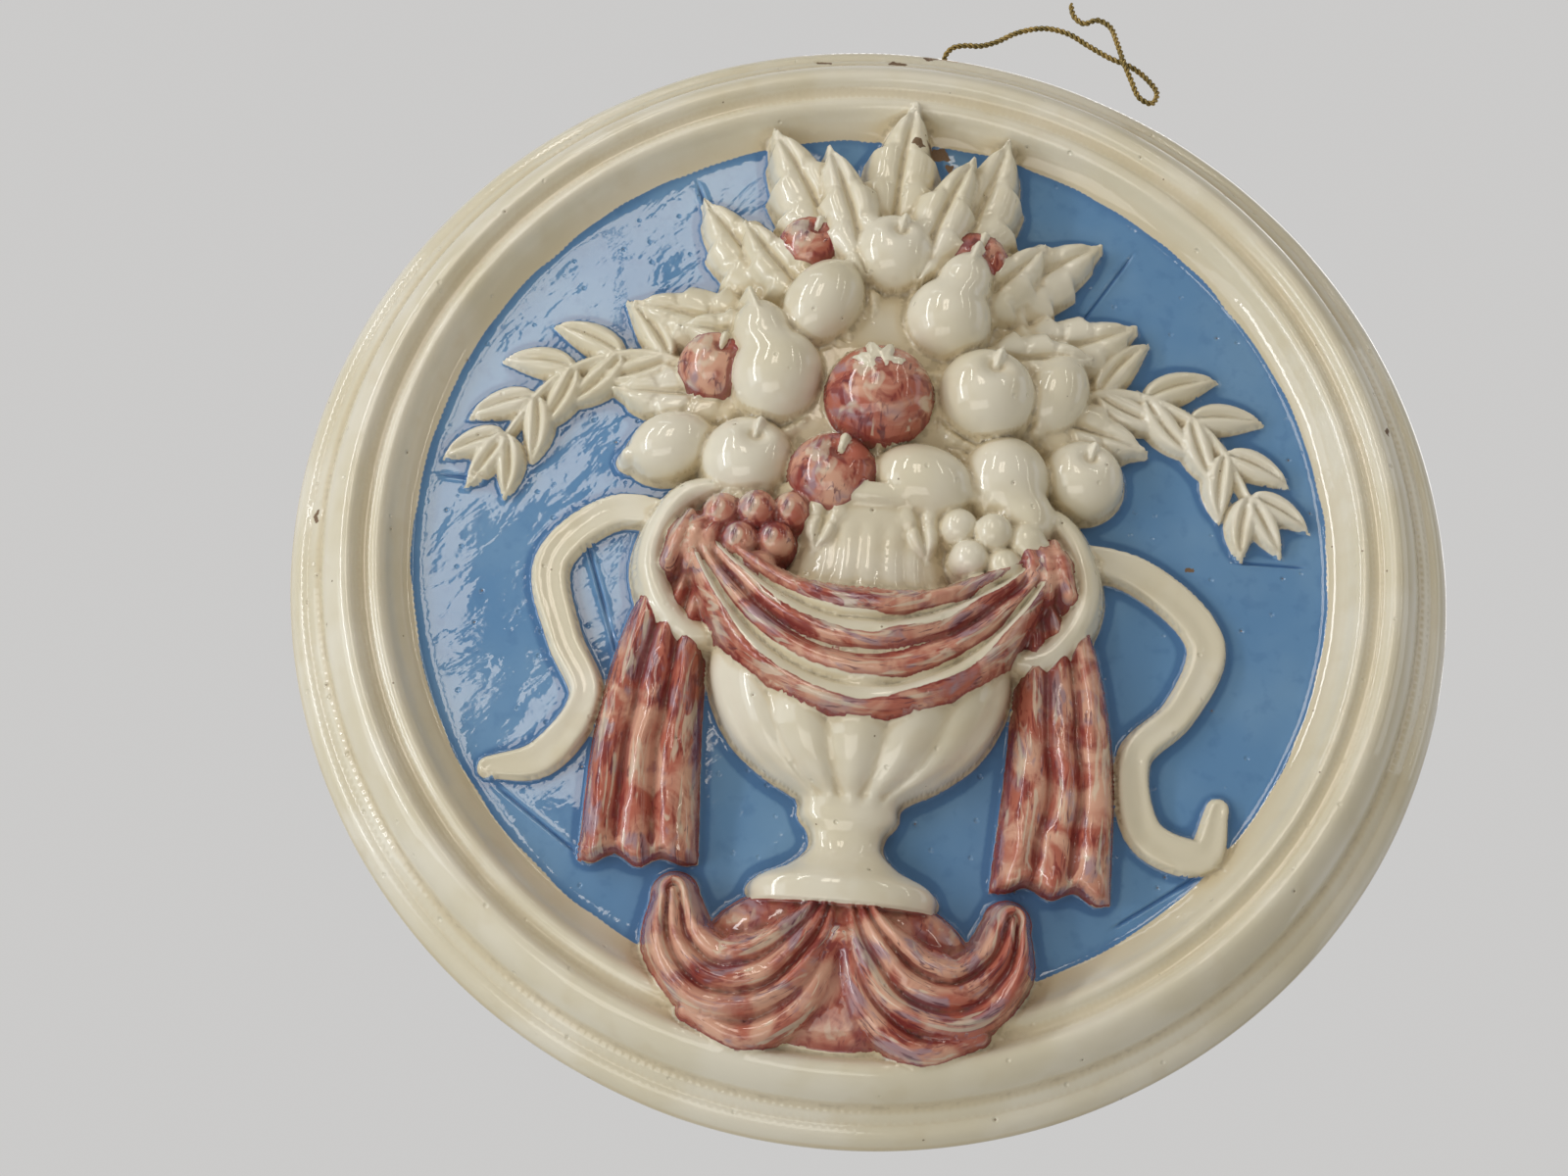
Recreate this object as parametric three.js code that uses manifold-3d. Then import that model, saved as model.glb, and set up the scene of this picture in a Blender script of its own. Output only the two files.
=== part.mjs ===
// Round glazed wall plaque: a moulded frame around a ground that carries an urn of fruit in relief,
// all one casting, with a twisted hanging wire that comes out through a hole in the foot ring.
import * as THREE from 'three';
import Module from 'manifold-3d';
import { mergeVertices } from 'three/addons/utils/BufferGeometryUtils.js';

const wasm = await Module();
wasm.setup();

// Sizes of the casting, in millimetres. Radii are from the plaque's centre, heights from the wall.
const plaqueRadius = 165;
const outerBandWidth = 6.2;
const innerBandWidth = 4.6;
const torusWidth = 11;
const coveWidth = 4.6;
const beadWidth = 4;
const slopeWidth = 6.2;
const rimHeight = 1.6;
const outerBandHeight = 7.4;
const innerBandHeight = 10.2;
const torusHeight = 19;
const coveHeight = 18.4;
const beadHeight = 15.8;
const groundHeight = 9.5;
const outerBandBulge = 2.6;
const innerBandBulge = 1.5;
const torusBulge = 5;
const coveDip = 1;
const beadBulge = 1.4;
const slopeDip = 0.8;
const aroundSegments = 56;

// Sizes of the plain back
const footOuterWidth = 7;
const footRingWidth = 18;
const recessDepth = 3;
const footBevel = 1;

// The chip in the rim at the top, clockwise from upright
const chipAngle = 4;
const chipLength = 10;
const chipDepth = 2.6;
const chipHeight = 4.5;

// Hanging wire, and the hole in the foot ring that it passes through
const wireDiameter = 1.8;
const wireHoleClearance = 1.4;
const wireHoleAngle = 4;
const wireSides = 8;
const wireSteps = 52;
const wireWallGap = 0.4;
const wireStart = 2;
const wireGuide = 5;
const holeOverrun = 10;

const innerBandOuter = plaqueRadius - outerBandWidth;
const torusOuter = innerBandOuter - innerBandWidth;
const coveOuter = torusOuter - torusWidth;
const beadOuter = coveOuter - coveWidth;
const slopeOuter = beadOuter - beadWidth;
const groundRadius = slopeOuter - slopeWidth;
const footOuterRadius = plaqueRadius - footOuterWidth;
const footInnerRadius = footOuterRadius - footRingWidth;
const hangRadius = (footOuterRadius + footInnerRadius) / 2;

// The relief is a free form laid out in units, of which the ground's radius holds 128.
const unit = groundRadius / 128;
const reliefRootShare = 0.4;
const reliefRoot = recessDepth + (groundHeight - recessDepth) * reliefRootShare;
const thinnestHalf = 0.25;

const creamGlaze = new THREE.MeshStandardMaterial({ color: 0xe6dfc9, roughness: 0.12, metalness: 0 });
const wireBrass = new THREE.MeshStandardMaterial({ color: 0x8a7338, roughness: 0.5, metalness: 0.9 });

// A closed geometry becomes a solid that can be joined and cut.
function solidOf(geometry) {
  geometry.deleteAttribute('normal');
  geometry.deleteAttribute('uv');
  const merged = mergeVertices(geometry, 1e-4);
  const corners = merged.index.array;
  const kept = [];
  for (let i = 0; i < corners.length; i += 3) {
    const [a, b, c] = [corners[i], corners[i + 1], corners[i + 2]];
    if (a !== b && b !== c && c !== a) kept.push(a, b, c);
  }
  const positions = new Float32Array(merged.attributes.position.array);
  const mesh = new wasm.Mesh({ numProp: 3, vertProperties: positions, triVerts: new Uint32Array(kept) });
  const solid = new wasm.Manifold(mesh);
  if (solid.volume() > 0) return solid;
  for (let i = 0; i < kept.length; i += 3) [kept[i], kept[i + 1]] = [kept[i + 1], kept[i]];
  const turned = { numProp: 3, vertProperties: positions, triVerts: new Uint32Array(kept) };
  return new wasm.Manifold(new wasm.Mesh(turned));
}

function geometryOf(solid) {
  const mesh = solid.getMesh();
  const geometry = new THREE.BufferGeometry();
  geometry.setAttribute('position', new THREE.BufferAttribute(new Float32Array(mesh.vertProperties), 3));
  geometry.setIndex(new THREE.BufferAttribute(new Uint32Array(mesh.triVerts), 1));
  geometry.computeVertexNormals();
  return geometry;
}

// One moulding of the frame: an arc that bulges out, or dips, between two edges of the profile.
function moulding(fromRadius, fromHeight, toRadius, toHeight, bulge, steps) {
  const points = [];
  for (let i = 0; i < steps; i += 1) {
    const share = i / steps;
    const radius = THREE.MathUtils.lerp(fromRadius, toRadius, share);
    const height = THREE.MathUtils.lerp(fromHeight, toHeight, share);
    points.push(new THREE.Vector2(radius, height + bulge * Math.sqrt(1 - (2 * share - 1) ** 2)));
  }
  return points;
}

// The turned body: foot ring, shallow recess behind, mouldings and ground in front.
function turnedBody() {
  const profile = [
    new THREE.Vector2(0, recessDepth),
    new THREE.Vector2(footInnerRadius - footBevel, recessDepth),
    new THREE.Vector2(footInnerRadius, 0),
    new THREE.Vector2(footOuterRadius, 0),
    new THREE.Vector2(plaqueRadius - footBevel, rimHeight / 2),
    ...moulding(plaqueRadius, rimHeight, innerBandOuter, outerBandHeight, outerBandBulge, 3),
    ...moulding(innerBandOuter, outerBandHeight, torusOuter, innerBandHeight, innerBandBulge, 2),
    ...moulding(torusOuter, innerBandHeight, coveOuter, torusHeight, torusBulge, 4),
    ...moulding(coveOuter, torusHeight, beadOuter, coveHeight, -coveDip, 2),
    ...moulding(beadOuter, coveHeight, slopeOuter, beadHeight, beadBulge, 2),
    ...moulding(slopeOuter, beadHeight, groundRadius, groundHeight, -slopeDip, 2),
    new THREE.Vector2(groundRadius, groundHeight),
    new THREE.Vector2(0, groundHeight),
  ];
  return solidOf(new THREE.LatheGeometry(profile, aroundSegments).rotateX(Math.PI / 2));
}

// A cross-section one unit to each side and one unit high, with a skirt below it that is sunk in the ground.
function sectionShape(heights) {
  const last = heights.length - 1;
  const points = heights.map((height, i) => new THREE.Vector2((2 * i) / last - 1, height));
  return new THREE.Shape([new THREE.Vector2(-1, -1), ...points, new THREE.Vector2(1, -1)]);
}

function roundedHeights(count, power) {
  const heights = [];
  for (let i = 0; i < count; i += 1) {
    const across = Math.abs((2 * i) / (count - 1) - 1);
    heights.push((1 - across ** power) ** (1 / power));
  }
  return heights;
}

const roundSection = sectionShape([0, 0.8, 1, 0.8, 0]);
const threeFolds = sectionShape([0, 0.95, 0.45, 1, 0.45, 0.95, 0]);
const fourFolds = sectionShape([0, 0.9, 0.5, 1, 0.6, 1, 0.5, 0.9, 0]);
const ribbonSection = sectionShape([0, 1, 1, 0]);
const leafSection = sectionShape([0, 0.95, 0.5, 0.95, 0]);
const smallLeafSection = sectionShape([0, 0.75, 0]);

function pathThrough(stops) {
  return new THREE.CatmullRomCurve3(stops.map(([x, y]) => new THREE.Vector3(x, y, 0)), false, 'centripetal');
}

// A raised form that follows a path. Each stop is [x, y, half width, height above the ground], in units.
// The section is extruded straight, then bent along the path.
function ridge(stops, rise, section, steps) {
  const path = pathThrough(stops);
  const sizes = new THREE.CatmullRomCurve3(stops.map(([, , half, top]) => new THREE.Vector3(half, top, 0)));
  const geometry = new THREE.ExtrudeGeometry(section, { depth: 1, steps, bevelEnabled: false });
  const position = geometry.attributes.position;
  for (let i = 0; i < position.count; i += 1) {
    const across = position.getX(i);
    const up = position.getY(i);
    const share = THREE.MathUtils.clamp(position.getZ(i), 0, 1);
    const spot = path.getPoint(share);
    const along = path.getTangent(share);
    const size = sizes.getPoint(share);
    const half = Math.max(size.x, thinnestHalf);
    const top = groundHeight + (size.y - rise + rise * up) * unit;
    position.setXYZ(
      i,
      (spot.x + along.y * half * across) * unit,
      (spot.y - along.x * half * across) * unit,
      up < 0 ? reliefRoot : Math.max(top, reliefRoot + 1),
    );
  }
  return solidOf(geometry);
}

// A rounded boss, such as a fruit: a lathe form with a skirt, stretched and turned in its place.
function boss(x, y, halfX, halfY, top, rise, turn = 0, segments = 8, rings = 3) {
  const profile = [new THREE.Vector2(0, -1), new THREE.Vector2(1, -1)];
  for (let i = 0; i <= rings; i += 1) {
    const angle = (i / rings) * (Math.PI / 2);
    profile.push(new THREE.Vector2(i === rings ? 0 : Math.cos(angle), Math.sin(angle)));
  }
  const geometry = new THREE.LatheGeometry(profile, segments);
  const position = geometry.attributes.position;
  const angle = THREE.MathUtils.degToRad(turn);
  for (let i = 0; i < position.count; i += 1) {
    const alongX = position.getX(i) * halfX;
    const alongY = position.getZ(i) * halfY;
    const up = position.getY(i);
    position.setXYZ(
      i,
      (x + alongX * Math.cos(angle) - alongY * Math.sin(angle)) * unit,
      (y + alongX * Math.sin(angle) + alongY * Math.cos(angle)) * unit,
      up < 0 ? reliefRoot : groundHeight + (top - rise + rise * up) * unit,
    );
  }
  return solidOf(geometry);
}

// A leaf with two swelling halves and a sunk midrib. Lengths in units, angles in degrees.
function leaf(x, y, length, width, heading, bend, top, rise, tipDrop, section = leafSection, steps = 3) {
  const stops = [];
  const spot = new THREE.Vector2(x, y);
  for (let i = 0; i <= steps; i += 1) {
    const share = i / steps;
    const angle = THREE.MathUtils.degToRad(heading + bend * (share - 0.3));
    if (i > 0) spot.add(new THREE.Vector2(Math.cos(angle), Math.sin(angle)).multiplyScalar(length / steps));
    const swell = i === 0 || i === steps ? 0 : Math.sin(Math.PI * share ** 0.8) ** 0.75;
    const half = Math.max((width / 2) * swell * (1 - 0.15 * share), width * 0.06);
    stops.push([spot.x, spot.y, half, top - tipDrop * share * share]);
  }
  return ridge(stops, rise, section, steps);
}

const sides = [-1, 1];

function mirrored(stops, side) {
  return stops.map(([x, y, half, top]) => [side * x, y, half, top]);
}

// Cloth gathered below the urn's foot, lying over the lower frame
const footClothStops = [
  [4, -101, 3, 17], [9, -113, 7, 19.5], [19, -123, 10, 20], [32, -125, 10, 19], [41, -117, 8, 17],
  [44, -104, 4, 14.5],
];

function footCloth() {
  const solids = [boss(0, -120, 36, 23, 15.5, 12, 0, 12, 2)];
  for (const side of sides) {
    solids.push(ridge(mirrored(footClothStops, side), 6.5, threeFolds, 9));
  }
  return solids;
}

// Tails of cloth that fall from the handles, with three folds each
const tailStops = [[47, -6, 5, 9], [53, -26, 9, 11], [56, -58, 12.5, 11.5], [55, -94, 14.5, 10]];

function clothTails() {
  return sides.map((side) => ridge(mirrored(tailStops, side), 6, threeFolds, 5));
}

// Flat ribbons that curl over the ground
function ribbons() {
  const left = [
    [-50, 0, 3.4, 7.5], [-72, 2, 4.6, 5], [-88, -14, 5, 4.1], [-82, -36, 4.2, 5.1],
    [-74, -52, 4, 5.5], [-84, -70, 4.8, 4.1], [-98, -74, 2.8, 3.5],
  ];
  const right = [
    [50, 0, 3.4, 7.5], [76, -4, 4.8, 5], [95, -22, 5, 4.1], [88, -42, 4, 5.1],
    [76, -56, 4, 5.5], [80, -77, 4.8, 4.3], [95, -81, 4.6, 4.1], [99, -68, 2.8, 3.5],
  ];
  return [ridge(left, 3.6, ribbonSection, 18), ridge(right, 3.6, ribbonSection, 21)];
}

// The urn, from its foot up: [height in the layout, half width]
const urnOutline = [
  [-104, 24], [-100, 24.5], [-97, 22], [-93, 14], [-88, 9], [-84, 9.5], [-80, 12.5], [-76, 13], [-70, 23],
  [-62, 32.5], [-52, 38.5], [-42, 41.2], [-33, 39.8], [-26, 34.5], [-20, 27], [-12, 23], [-4, 22.8],
  [3, 26], [7, 31], [11, 30],
];
const urnForm = { depthShare: 0.5, lift: 5, columns: 12, rows: 18, flutes: 7, fluteDepth: 1.6 };
const urnBand = [
  [-40, -31, 1.6, 8], [-20, -33, 1.7, 21.5], [0, -34, 1.8, 25], [20, -33, 1.7, 21.5], [40, -31, 1.6, 8],
];

// Gadroons swell in the lower bowl only, between its foot and its widest part.
function gadroonShare(y) {
  const fromFoot = THREE.MathUtils.clamp((y + 78) / 6, 0, 1);
  const toBelly = THREE.MathUtils.clamp((-38 - y) / 10, 0, 1);
  return fromFoot * toBelly;
}

function urn() {
  const path = new THREE.CatmullRomCurve3(urnOutline.map(([y, half]) => new THREE.Vector3(half, y, 0)));
  const section = sectionShape(roundedHeights(urnForm.columns + 1, 2).map((height) => height / 2));
  const geometry = new THREE.ExtrudeGeometry(section, { depth: 1, steps: urnForm.rows, bevelEnabled: false });
  const position = geometry.attributes.position;
  for (let i = 0; i < position.count; i += 1) {
    const angle = position.getX(i) * (Math.PI / 2);
    const spot = path.getPoint(THREE.MathUtils.clamp(position.getZ(i), 0, 1));
    const wave = Math.abs(Math.cos(angle * urnForm.flutes)) - 0.5;
    const flute = urnForm.fluteDepth * gadroonShare(spot.y) * wave * Math.cos(angle);
    const top = urnForm.lift + spot.x * urnForm.depthShare * Math.cos(angle) + flute;
    const height = position.getY(i) < 0 ? reliefRoot : groundHeight + top * unit;
    position.setXYZ(i, spot.x * Math.sin(angle) * unit, spot.y * unit, height);
  }
  return [solidOf(geometry), ridge(urnBand, 3, smallLeafSection, 8)];
}

const handleStops = [
  [34, -34, 4.2, 10], [50, -32, 4.6, 12.5], [60, -14, 4.6, 13.5], [52, 6, 4.4, 13.5], [38, 8, 3.6, 13.5],
  [27, 0, 3.4, 14],
];

function handles() {
  const solids = [];
  for (const side of sides) {
    solids.push(ridge(mirrored(handleStops, side), 8.5, roundSection, 11));
    solids.push(boss(side * 36, 4, 5.2, 5.2, 15.5, 6, 0, 8, 3));
  }
  return solids;
}

// Cloth slung across the urn from handle to handle, its folds fanning out where it hangs lowest
const swagStops = [
  [-48, -6, 4, 16], [-38, -18, 9, 21], [-21, -33, 15, 26.5], [0, -39, 18, 29], [21, -33, 15, 26.5],
  [38, -18, 9, 21], [48, -6, 4, 16],
];

function swag() {
  const solids = [ridge(swagStops, 7, fourFolds, 14)];
  for (const side of sides) {
    solids.push(boss(side * 48, -8, 8.5, 8, 19, 9, 0, 9, 3));
  }
  return solids;
}

// Leafy branches that reach out to both sides over the ground
const branchStops = [[36, 34, 2.2, 7.5], [66, 50, 2, 6.5], [92, 42, 1.8, 5.3], [109, 17, 1.2, 3.5]];
const branchPairs = 5;
const branchTurn = 42;

function branchLeaf(path, share, turn) {
  const spot = path.getPoint(share);
  const along = path.getTangent(share);
  const heading = THREE.MathUtils.radToDeg(Math.atan2(along.y, along.x)) + turn;
  const length = 26 - 7 * share;
  const width = 11 - 2 * share;
  const lift = 7.2 - 1.8 * share;
  return leaf(spot.x, spot.y, length, width, heading, -turn * 0.7, lift, 3.4, 2.4, smallLeafSection, 3);
}

function branches() {
  const solids = [];
  for (const side of sides) {
    const stem = mirrored(branchStops, side);
    const path = pathThrough(stem);
    solids.push(ridge(stem, 3, smallLeafSection, 6));
    for (let i = 1; i <= branchPairs; i += 1) {
      const share = 0.12 + (0.82 * i) / branchPairs;
      solids.push(branchLeaf(path, share, -branchTurn));
      solids.push(branchLeaf(path, share, branchTurn));
      if (i === branchPairs) solids.push(branchLeaf(path, share, 0));
    }
  }
  return solids;
}

// The heap of fruit, with the fans of leaves behind it and between the fruit
const heap = {
  centre: 44,
  backLeaves: {
    count: 9, from: -6, to: 186, radius: 30, squash: 1.1, length: 47, width: 25, top: 10, rise: 5,
  },
  frontLeaves: {
    count: 6, from: 14, to: 166, radius: 27, squash: 1.15, length: 34, width: 20, top: 15, rise: 6,
  },
  rimLeaves: {
    count: 4, spread: 30, start: 14, length: 24, width: 16, turn: 38, bend: 18, top: 20.5, rise: 5,
  },
  topLeafShare: 0.85,
  topLeafReach: 13,
  topLeafLift: 4,
};

function leafFan(form) {
  const solids = [];
  for (let i = 0; i < form.count; i += 1) {
    const heading = THREE.MathUtils.lerp(form.from, form.to, i / (form.count - 1));
    const angle = THREE.MathUtils.degToRad(heading);
    const steep = Math.sin(angle);
    const atTop = steep > heap.topLeafShare;
    const reach = form.length + heap.topLeafReach * Math.max(steep, 0) ** 4;
    const x = form.radius * Math.cos(angle);
    const y = heap.centre + form.radius * form.squash * steep;
    const lift = form.top + (atTop ? heap.topLeafLift : 0);
    solids.push(leaf(x, y, reach, form.width, heading, i % 2 ? 14 : -14, lift, form.rise, atTop ? 1.5 : 3));
  }
  return solids;
}

function heapLeaves() {
  const solids = [...leafFan(heap.backLeaves), ...leafFan(heap.frontLeaves)];
  const rim = heap.rimLeaves;
  for (let i = 0; i < rim.count; i += 1) {
    const share = (2 * i) / (rim.count - 1) - 1;
    const heading = -90 + share * rim.turn;
    const bend = share * rim.bend;
    const top = rim.top - rim.rise * Math.abs(share);
    const x = share * rim.spread;
    solids.push(leaf(x, rim.start, rim.length, rim.width, heading, bend, top, rim.rise, 3));
  }
  return solids;
}

// Round fruit: [x, y, radius, height above the ground], in units
const apples = [
  [58, 22, 12, 15.5], [-36, 18, 13.5, 20.5], [-12, 14, 13, 24], [29, 42, 14, 26], [-48, 46, 11, 17.5],
  [0, 84, 12.5, 23.5], [-24, 86, 10, 17.5], [24, 85, 10, 17.5], [-1, 38, 15.5, 29],
];
// Long fruit: [x, y, radius, height above the ground, turn]
const lemons = [
  [-58, 22, 11, 15.5, 20], [13, 14, 13, 23.5, -12], [49, 46, 11, 17.5, 70], [-19, 66, 12.5, 25, 60],
];
const pears = [[36, 18, 13.5, 20.5, -150], [-30, 43, 14, 25.5, 24], [17, 64, 13, 25.5, -18]];
// Bunches of grapes that hang over the rim: [x, y, radius, height above the ground, turn, rows]
const bunches = [[-32, 1, 5.4, 21, 6, 3], [33, 0, 5.4, 21, -8, 3]];

function fruit() {
  const solids = [boss(0, heap.centre, 46, 40, 15, 13, 0, 10, 2)];
  for (const [x, y, radius, top] of apples) {
    solids.push(boss(x, y, radius, radius * 0.96, top, radius * 0.95));
  }
  for (const [x, y, radius, top, turn] of lemons) {
    solids.push(boss(x, y, radius * 1.15, radius * 0.86, top, radius * 0.9, turn));
  }
  for (const [x, y, radius, top, turn] of pears) {
    const angle = THREE.MathUtils.degToRad(turn);
    const neckX = x - Math.sin(angle) * radius * 0.85;
    const neckY = y + Math.cos(angle) * radius * 0.85;
    solids.push(boss(x, y, radius * 0.95, radius, top, radius * 0.95));
    solids.push(boss(neckX, neckY, radius * 0.62, radius * 0.78, top - 2, radius * 0.6, turn, 8, 3));
  }
  for (const [x, y, radius, top, turn, rows] of bunches) {
    const angle = THREE.MathUtils.degToRad(turn);
    for (let row = 0; row < rows; row += 1) {
      const count = rows - row;
      for (let i = 0; i < count; i += 1) {
        const off = (i - (count - 1) / 2) * radius * 1.75;
        const down = row * radius * 1.55;
        const grapeX = x + Math.cos(angle) * off + Math.sin(angle) * down;
        const grapeY = y + Math.sin(angle) * off - Math.cos(angle) * down;
        const lift = top - 0.12 * Math.abs(off) - row * 0.7 + ((row + i) % 2 ? 0.8 : 0);
        solids.push(boss(grapeX, grapeY, radius, radius, lift, radius, 0, 6, 2));
      }
    }
  }
  return solids;
}

// What is cut away: the chip in the rim, and the hole for the wire through the foot ring
function chip() {
  const angle = THREE.MathUtils.degToRad(90 - chipAngle);
  const cutter = new THREE.BoxGeometry(chipDepth * 4, chipLength, chipHeight * 2);
  cutter.translate(chipDepth, 0, 0);
  cutter.rotateZ(angle);
  cutter.translate(plaqueRadius * Math.cos(angle), plaqueRadius * Math.sin(angle), chipHeight / 2);
  return solidOf(cutter);
}

const wireHoleWay = THREE.MathUtils.degToRad(90 - wireHoleAngle);
const wireHeight = wireWallGap + wireDiameter / 2;
const wireHoleDepth = wireHeight + wireDiameter / 2 + wireHoleClearance / 2;

function wireHole() {
  const reach = plaqueRadius - footInnerRadius + 2 * holeOverrun;
  const middle = (plaqueRadius + footInnerRadius) / 2;
  const groove = new THREE.BoxGeometry(reach, wireDiameter + wireHoleClearance, 2 * wireHoleDepth);
  groove.rotateZ(wireHoleWay);
  groove.translate(middle * Math.cos(wireHoleWay), middle * Math.sin(wireHoleWay), 0);
  return solidOf(groove);
}

function plaque() {
  const relief = [
    ...footCloth(), ...clothTails(), ...ribbons(), ...urn(), ...handles(), ...swag(), ...branches(),
    ...heapLeaves(), ...fruit(),
  ];
  const body = wasm.Manifold.union([turnedBody(), ...relief]);
  return geometryOf(body.subtract(chip()).subtract(wireHole()));
}

// The wire's way through the hole, as radii from the plaque's centre
const wireInside = [
  footInnerRadius - wireStart, footInnerRadius + wireGuide, footOuterRadius - wireGuide, plaqueRadius - 1,
];
// Its bends beyond the rim, as [right, up, height above the wall] from the mouth of the hole: along
// beside the rim, round a narrow loop, and back over itself.
const wireBends = [
  [0.5, 2.6, 1.5], [2.6, 5.2, 1.7], [6.4, 6.2, 1.9], [11, 6.4, 2], [16, 8.2, 2.2], [22.5, 12.1, 2.4],
  [31, 14.6, 2.2], [38.5, 13.6, 1.8], [45, 10, 1.5], [52, 6.2, 1.4], [59, 3.4, 1.4], [64, -0.8, 1.6],
  [66.9, -5.8, 2.3], [65.2, -10.2, 3.2], [61.2, -9, 4], [58.4, -3.4, 4.5], [55.7, 3.2, 4.7], [53.5, 10.2, 4.3],
  [51.2, 16.4, 3.4], [47.2, 18.8, 2.8], [43.2, 17.4, 2.4], [40, 19.9, 2.2], [38.8, 24.4, 2],
];

function hangingWire() {
  const [wayX, wayY] = [Math.cos(wireHoleWay), Math.sin(wireHoleWay)];
  const route = [
    ...wireInside.map((reach) => new THREE.Vector3(reach * wayX, reach * wayY, wireHeight)),
    ...wireBends.map(([right, up, high]) => new THREE.Vector3(right, up, high)
      .add(new THREE.Vector3(plaqueRadius * wayX, plaqueRadius * wayY, 0))),
  ];
  const path = new THREE.CatmullRomCurve3(route, false, 'centripetal');
  const radius = wireDiameter / 2;
  const section = new THREE.Shape();
  for (let i = 0; i < wireSides; i += 1) {
    const angle = (i / wireSides) * Math.PI * 2;
    if (i === 0) section.moveTo(radius, 0);
    else section.lineTo(radius * Math.cos(angle), radius * Math.sin(angle));
  }
  return new THREE.ExtrudeGeometry(section, { steps: wireSteps, extrudePath: path, bevelEnabled: false });
}

const casting = new THREE.Mesh(plaque(), creamGlaze);
casting.name = 'plaque';
const wire = new THREE.Mesh(hangingWire(), wireBrass);
wire.name = 'hanging_wire';

// The layout lies flat, so the whole is turned upright: its front faces -Y and its foot ring lies on Y = 0.
const upright = new THREE.Group();
upright.add(casting, wire);
upright.rotation.x = Math.PI / 2;
upright.position.z = -hangRadius;

const model = new THREE.Group();
model.add(upright);

export default model;
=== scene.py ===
import bpy
import math
import numpy as np
from mathutils import Matrix, Vector
from mathutils.geometry import delaunay_2d_cdt


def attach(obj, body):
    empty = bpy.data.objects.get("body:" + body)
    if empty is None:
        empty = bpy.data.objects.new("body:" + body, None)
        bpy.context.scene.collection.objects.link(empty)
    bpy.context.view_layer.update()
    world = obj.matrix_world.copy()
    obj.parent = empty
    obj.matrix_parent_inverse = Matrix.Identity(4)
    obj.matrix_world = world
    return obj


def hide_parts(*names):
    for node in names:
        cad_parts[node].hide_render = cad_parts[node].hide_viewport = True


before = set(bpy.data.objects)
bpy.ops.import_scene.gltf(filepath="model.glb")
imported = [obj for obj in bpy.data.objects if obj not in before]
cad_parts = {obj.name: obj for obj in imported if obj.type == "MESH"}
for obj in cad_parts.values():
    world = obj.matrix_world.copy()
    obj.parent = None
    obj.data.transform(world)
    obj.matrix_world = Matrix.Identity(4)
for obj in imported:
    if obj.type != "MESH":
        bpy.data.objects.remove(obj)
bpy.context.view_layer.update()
print("frame loaded")

# Sizes of the casting in millimetres, radii from its centre and heights from the wall
plaqueSizes = {
    "radius": 165.0,
    "rimHeight": 1.6,
    # each moulding from outside in: width, height at its inner edge, bulge
    "outerBand": (6.2, 7.4, 2.6),
    "innerBand": (4.6, 10.2, 1.5),
    "torus": (11.0, 19.0, 5.0),
    "cove": (4.6, 18.4, -1.0),
    "bead": (4.0, 15.8, 1.4),
    "slope": (6.2, 9.5, -0.8),
    "glazeSoftening": 0.4,
    "fillet": 1.7,  # how far thick glaze rounds the ground up into the slope
    "rimRound": 0.35,
    "footOuter": 158.0,
    "footInner": 140.0,
    "footBevel": 1.0,
    "recess": 3.0,
    "holeAngle": 4.0,
    "chipLength": 10.0,
    "chipDepth": 2.6,
    "grooveWidth": 3.2,
    "grooveDepth": 2.9,
    "handWobble": 0.35,
}
mouldings = [plaqueSizes[name] for name in ("outerBand", "innerBand", "torus", "cove", "bead", "slope")]
plaqueRadius = plaqueSizes["radius"]
groundRadius = plaqueRadius - sum(width for width, height, bulge in mouldings)
groundHeight = plaqueSizes["slope"][1]
hangRadius = (plaqueSizes["footOuter"] + plaqueSizes["footInner"]) / 2
unit = groundRadius / 128  # the relief is laid out on a ground of 128 units' radius
holeWay = math.radians(90 - plaqueSizes["holeAngle"])
holeX, holeY = math.cos(holeWay), math.sin(holeWay)


def toFrame(x, y, height):
    # from the layout (right, up, out from the wall, in millimetres) to the frame's metres
    return np.stack([x, -height, y - hangRadius], axis=-1) / 1000


def addObject(name, data):
    made = bpy.data.objects.new(name, data)
    bpy.context.scene.collection.objects.link(made)
    return made


# The camera looks up at the plaque from below its middle, with a slight roll
cameraSettings = {
    "place": (-12.3, -177.15, 506.2),  # right, up and out from the plaque's centre, in millimetres
    "turns": (-18.0, -1.17, -4.97),  # degrees about the right, up and out directions
    "lens": 42.75,
    "sensor": 36.0,
}


def addCamera():
    aboutX, aboutY, aboutZ = (math.radians(turn) for turn in cameraSettings["turns"])
    turned = Matrix.Rotation(aboutZ, 3, "Z") @ Matrix.Rotation(aboutY, 3, "Y")
    turned = turned @ Matrix.Rotation(aboutX, 3, "X")
    upright = Matrix(((1, 0, 0), (0, 0, -1), (0, 1, 0)))
    data = bpy.data.cameras.new("camera")
    data.lens = cameraSettings["lens"]
    data.sensor_width = cameraSettings["sensor"]
    data.clip_start = 0.01
    camera = addObject("camera", data)
    place = Vector(toFrame(*(np.array(value) for value in cameraSettings["place"])))
    camera.matrix_world = Matrix.Translation(place) @ (upright @ turned.transposed()).to_4x4()
    bpy.context.scene.camera = camera


addCamera()
print("camera placed")


def paint(red, green, blue):
    # a colour as a screen shows it, made linear for the shaders
    shares = [value / 255 for value in (red, green, blue)]
    return [s / 12.92 if s <= 0.04045 else ((s + 0.055) / 1.055) ** 2.4 for s in shares] + [1.0]


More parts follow.
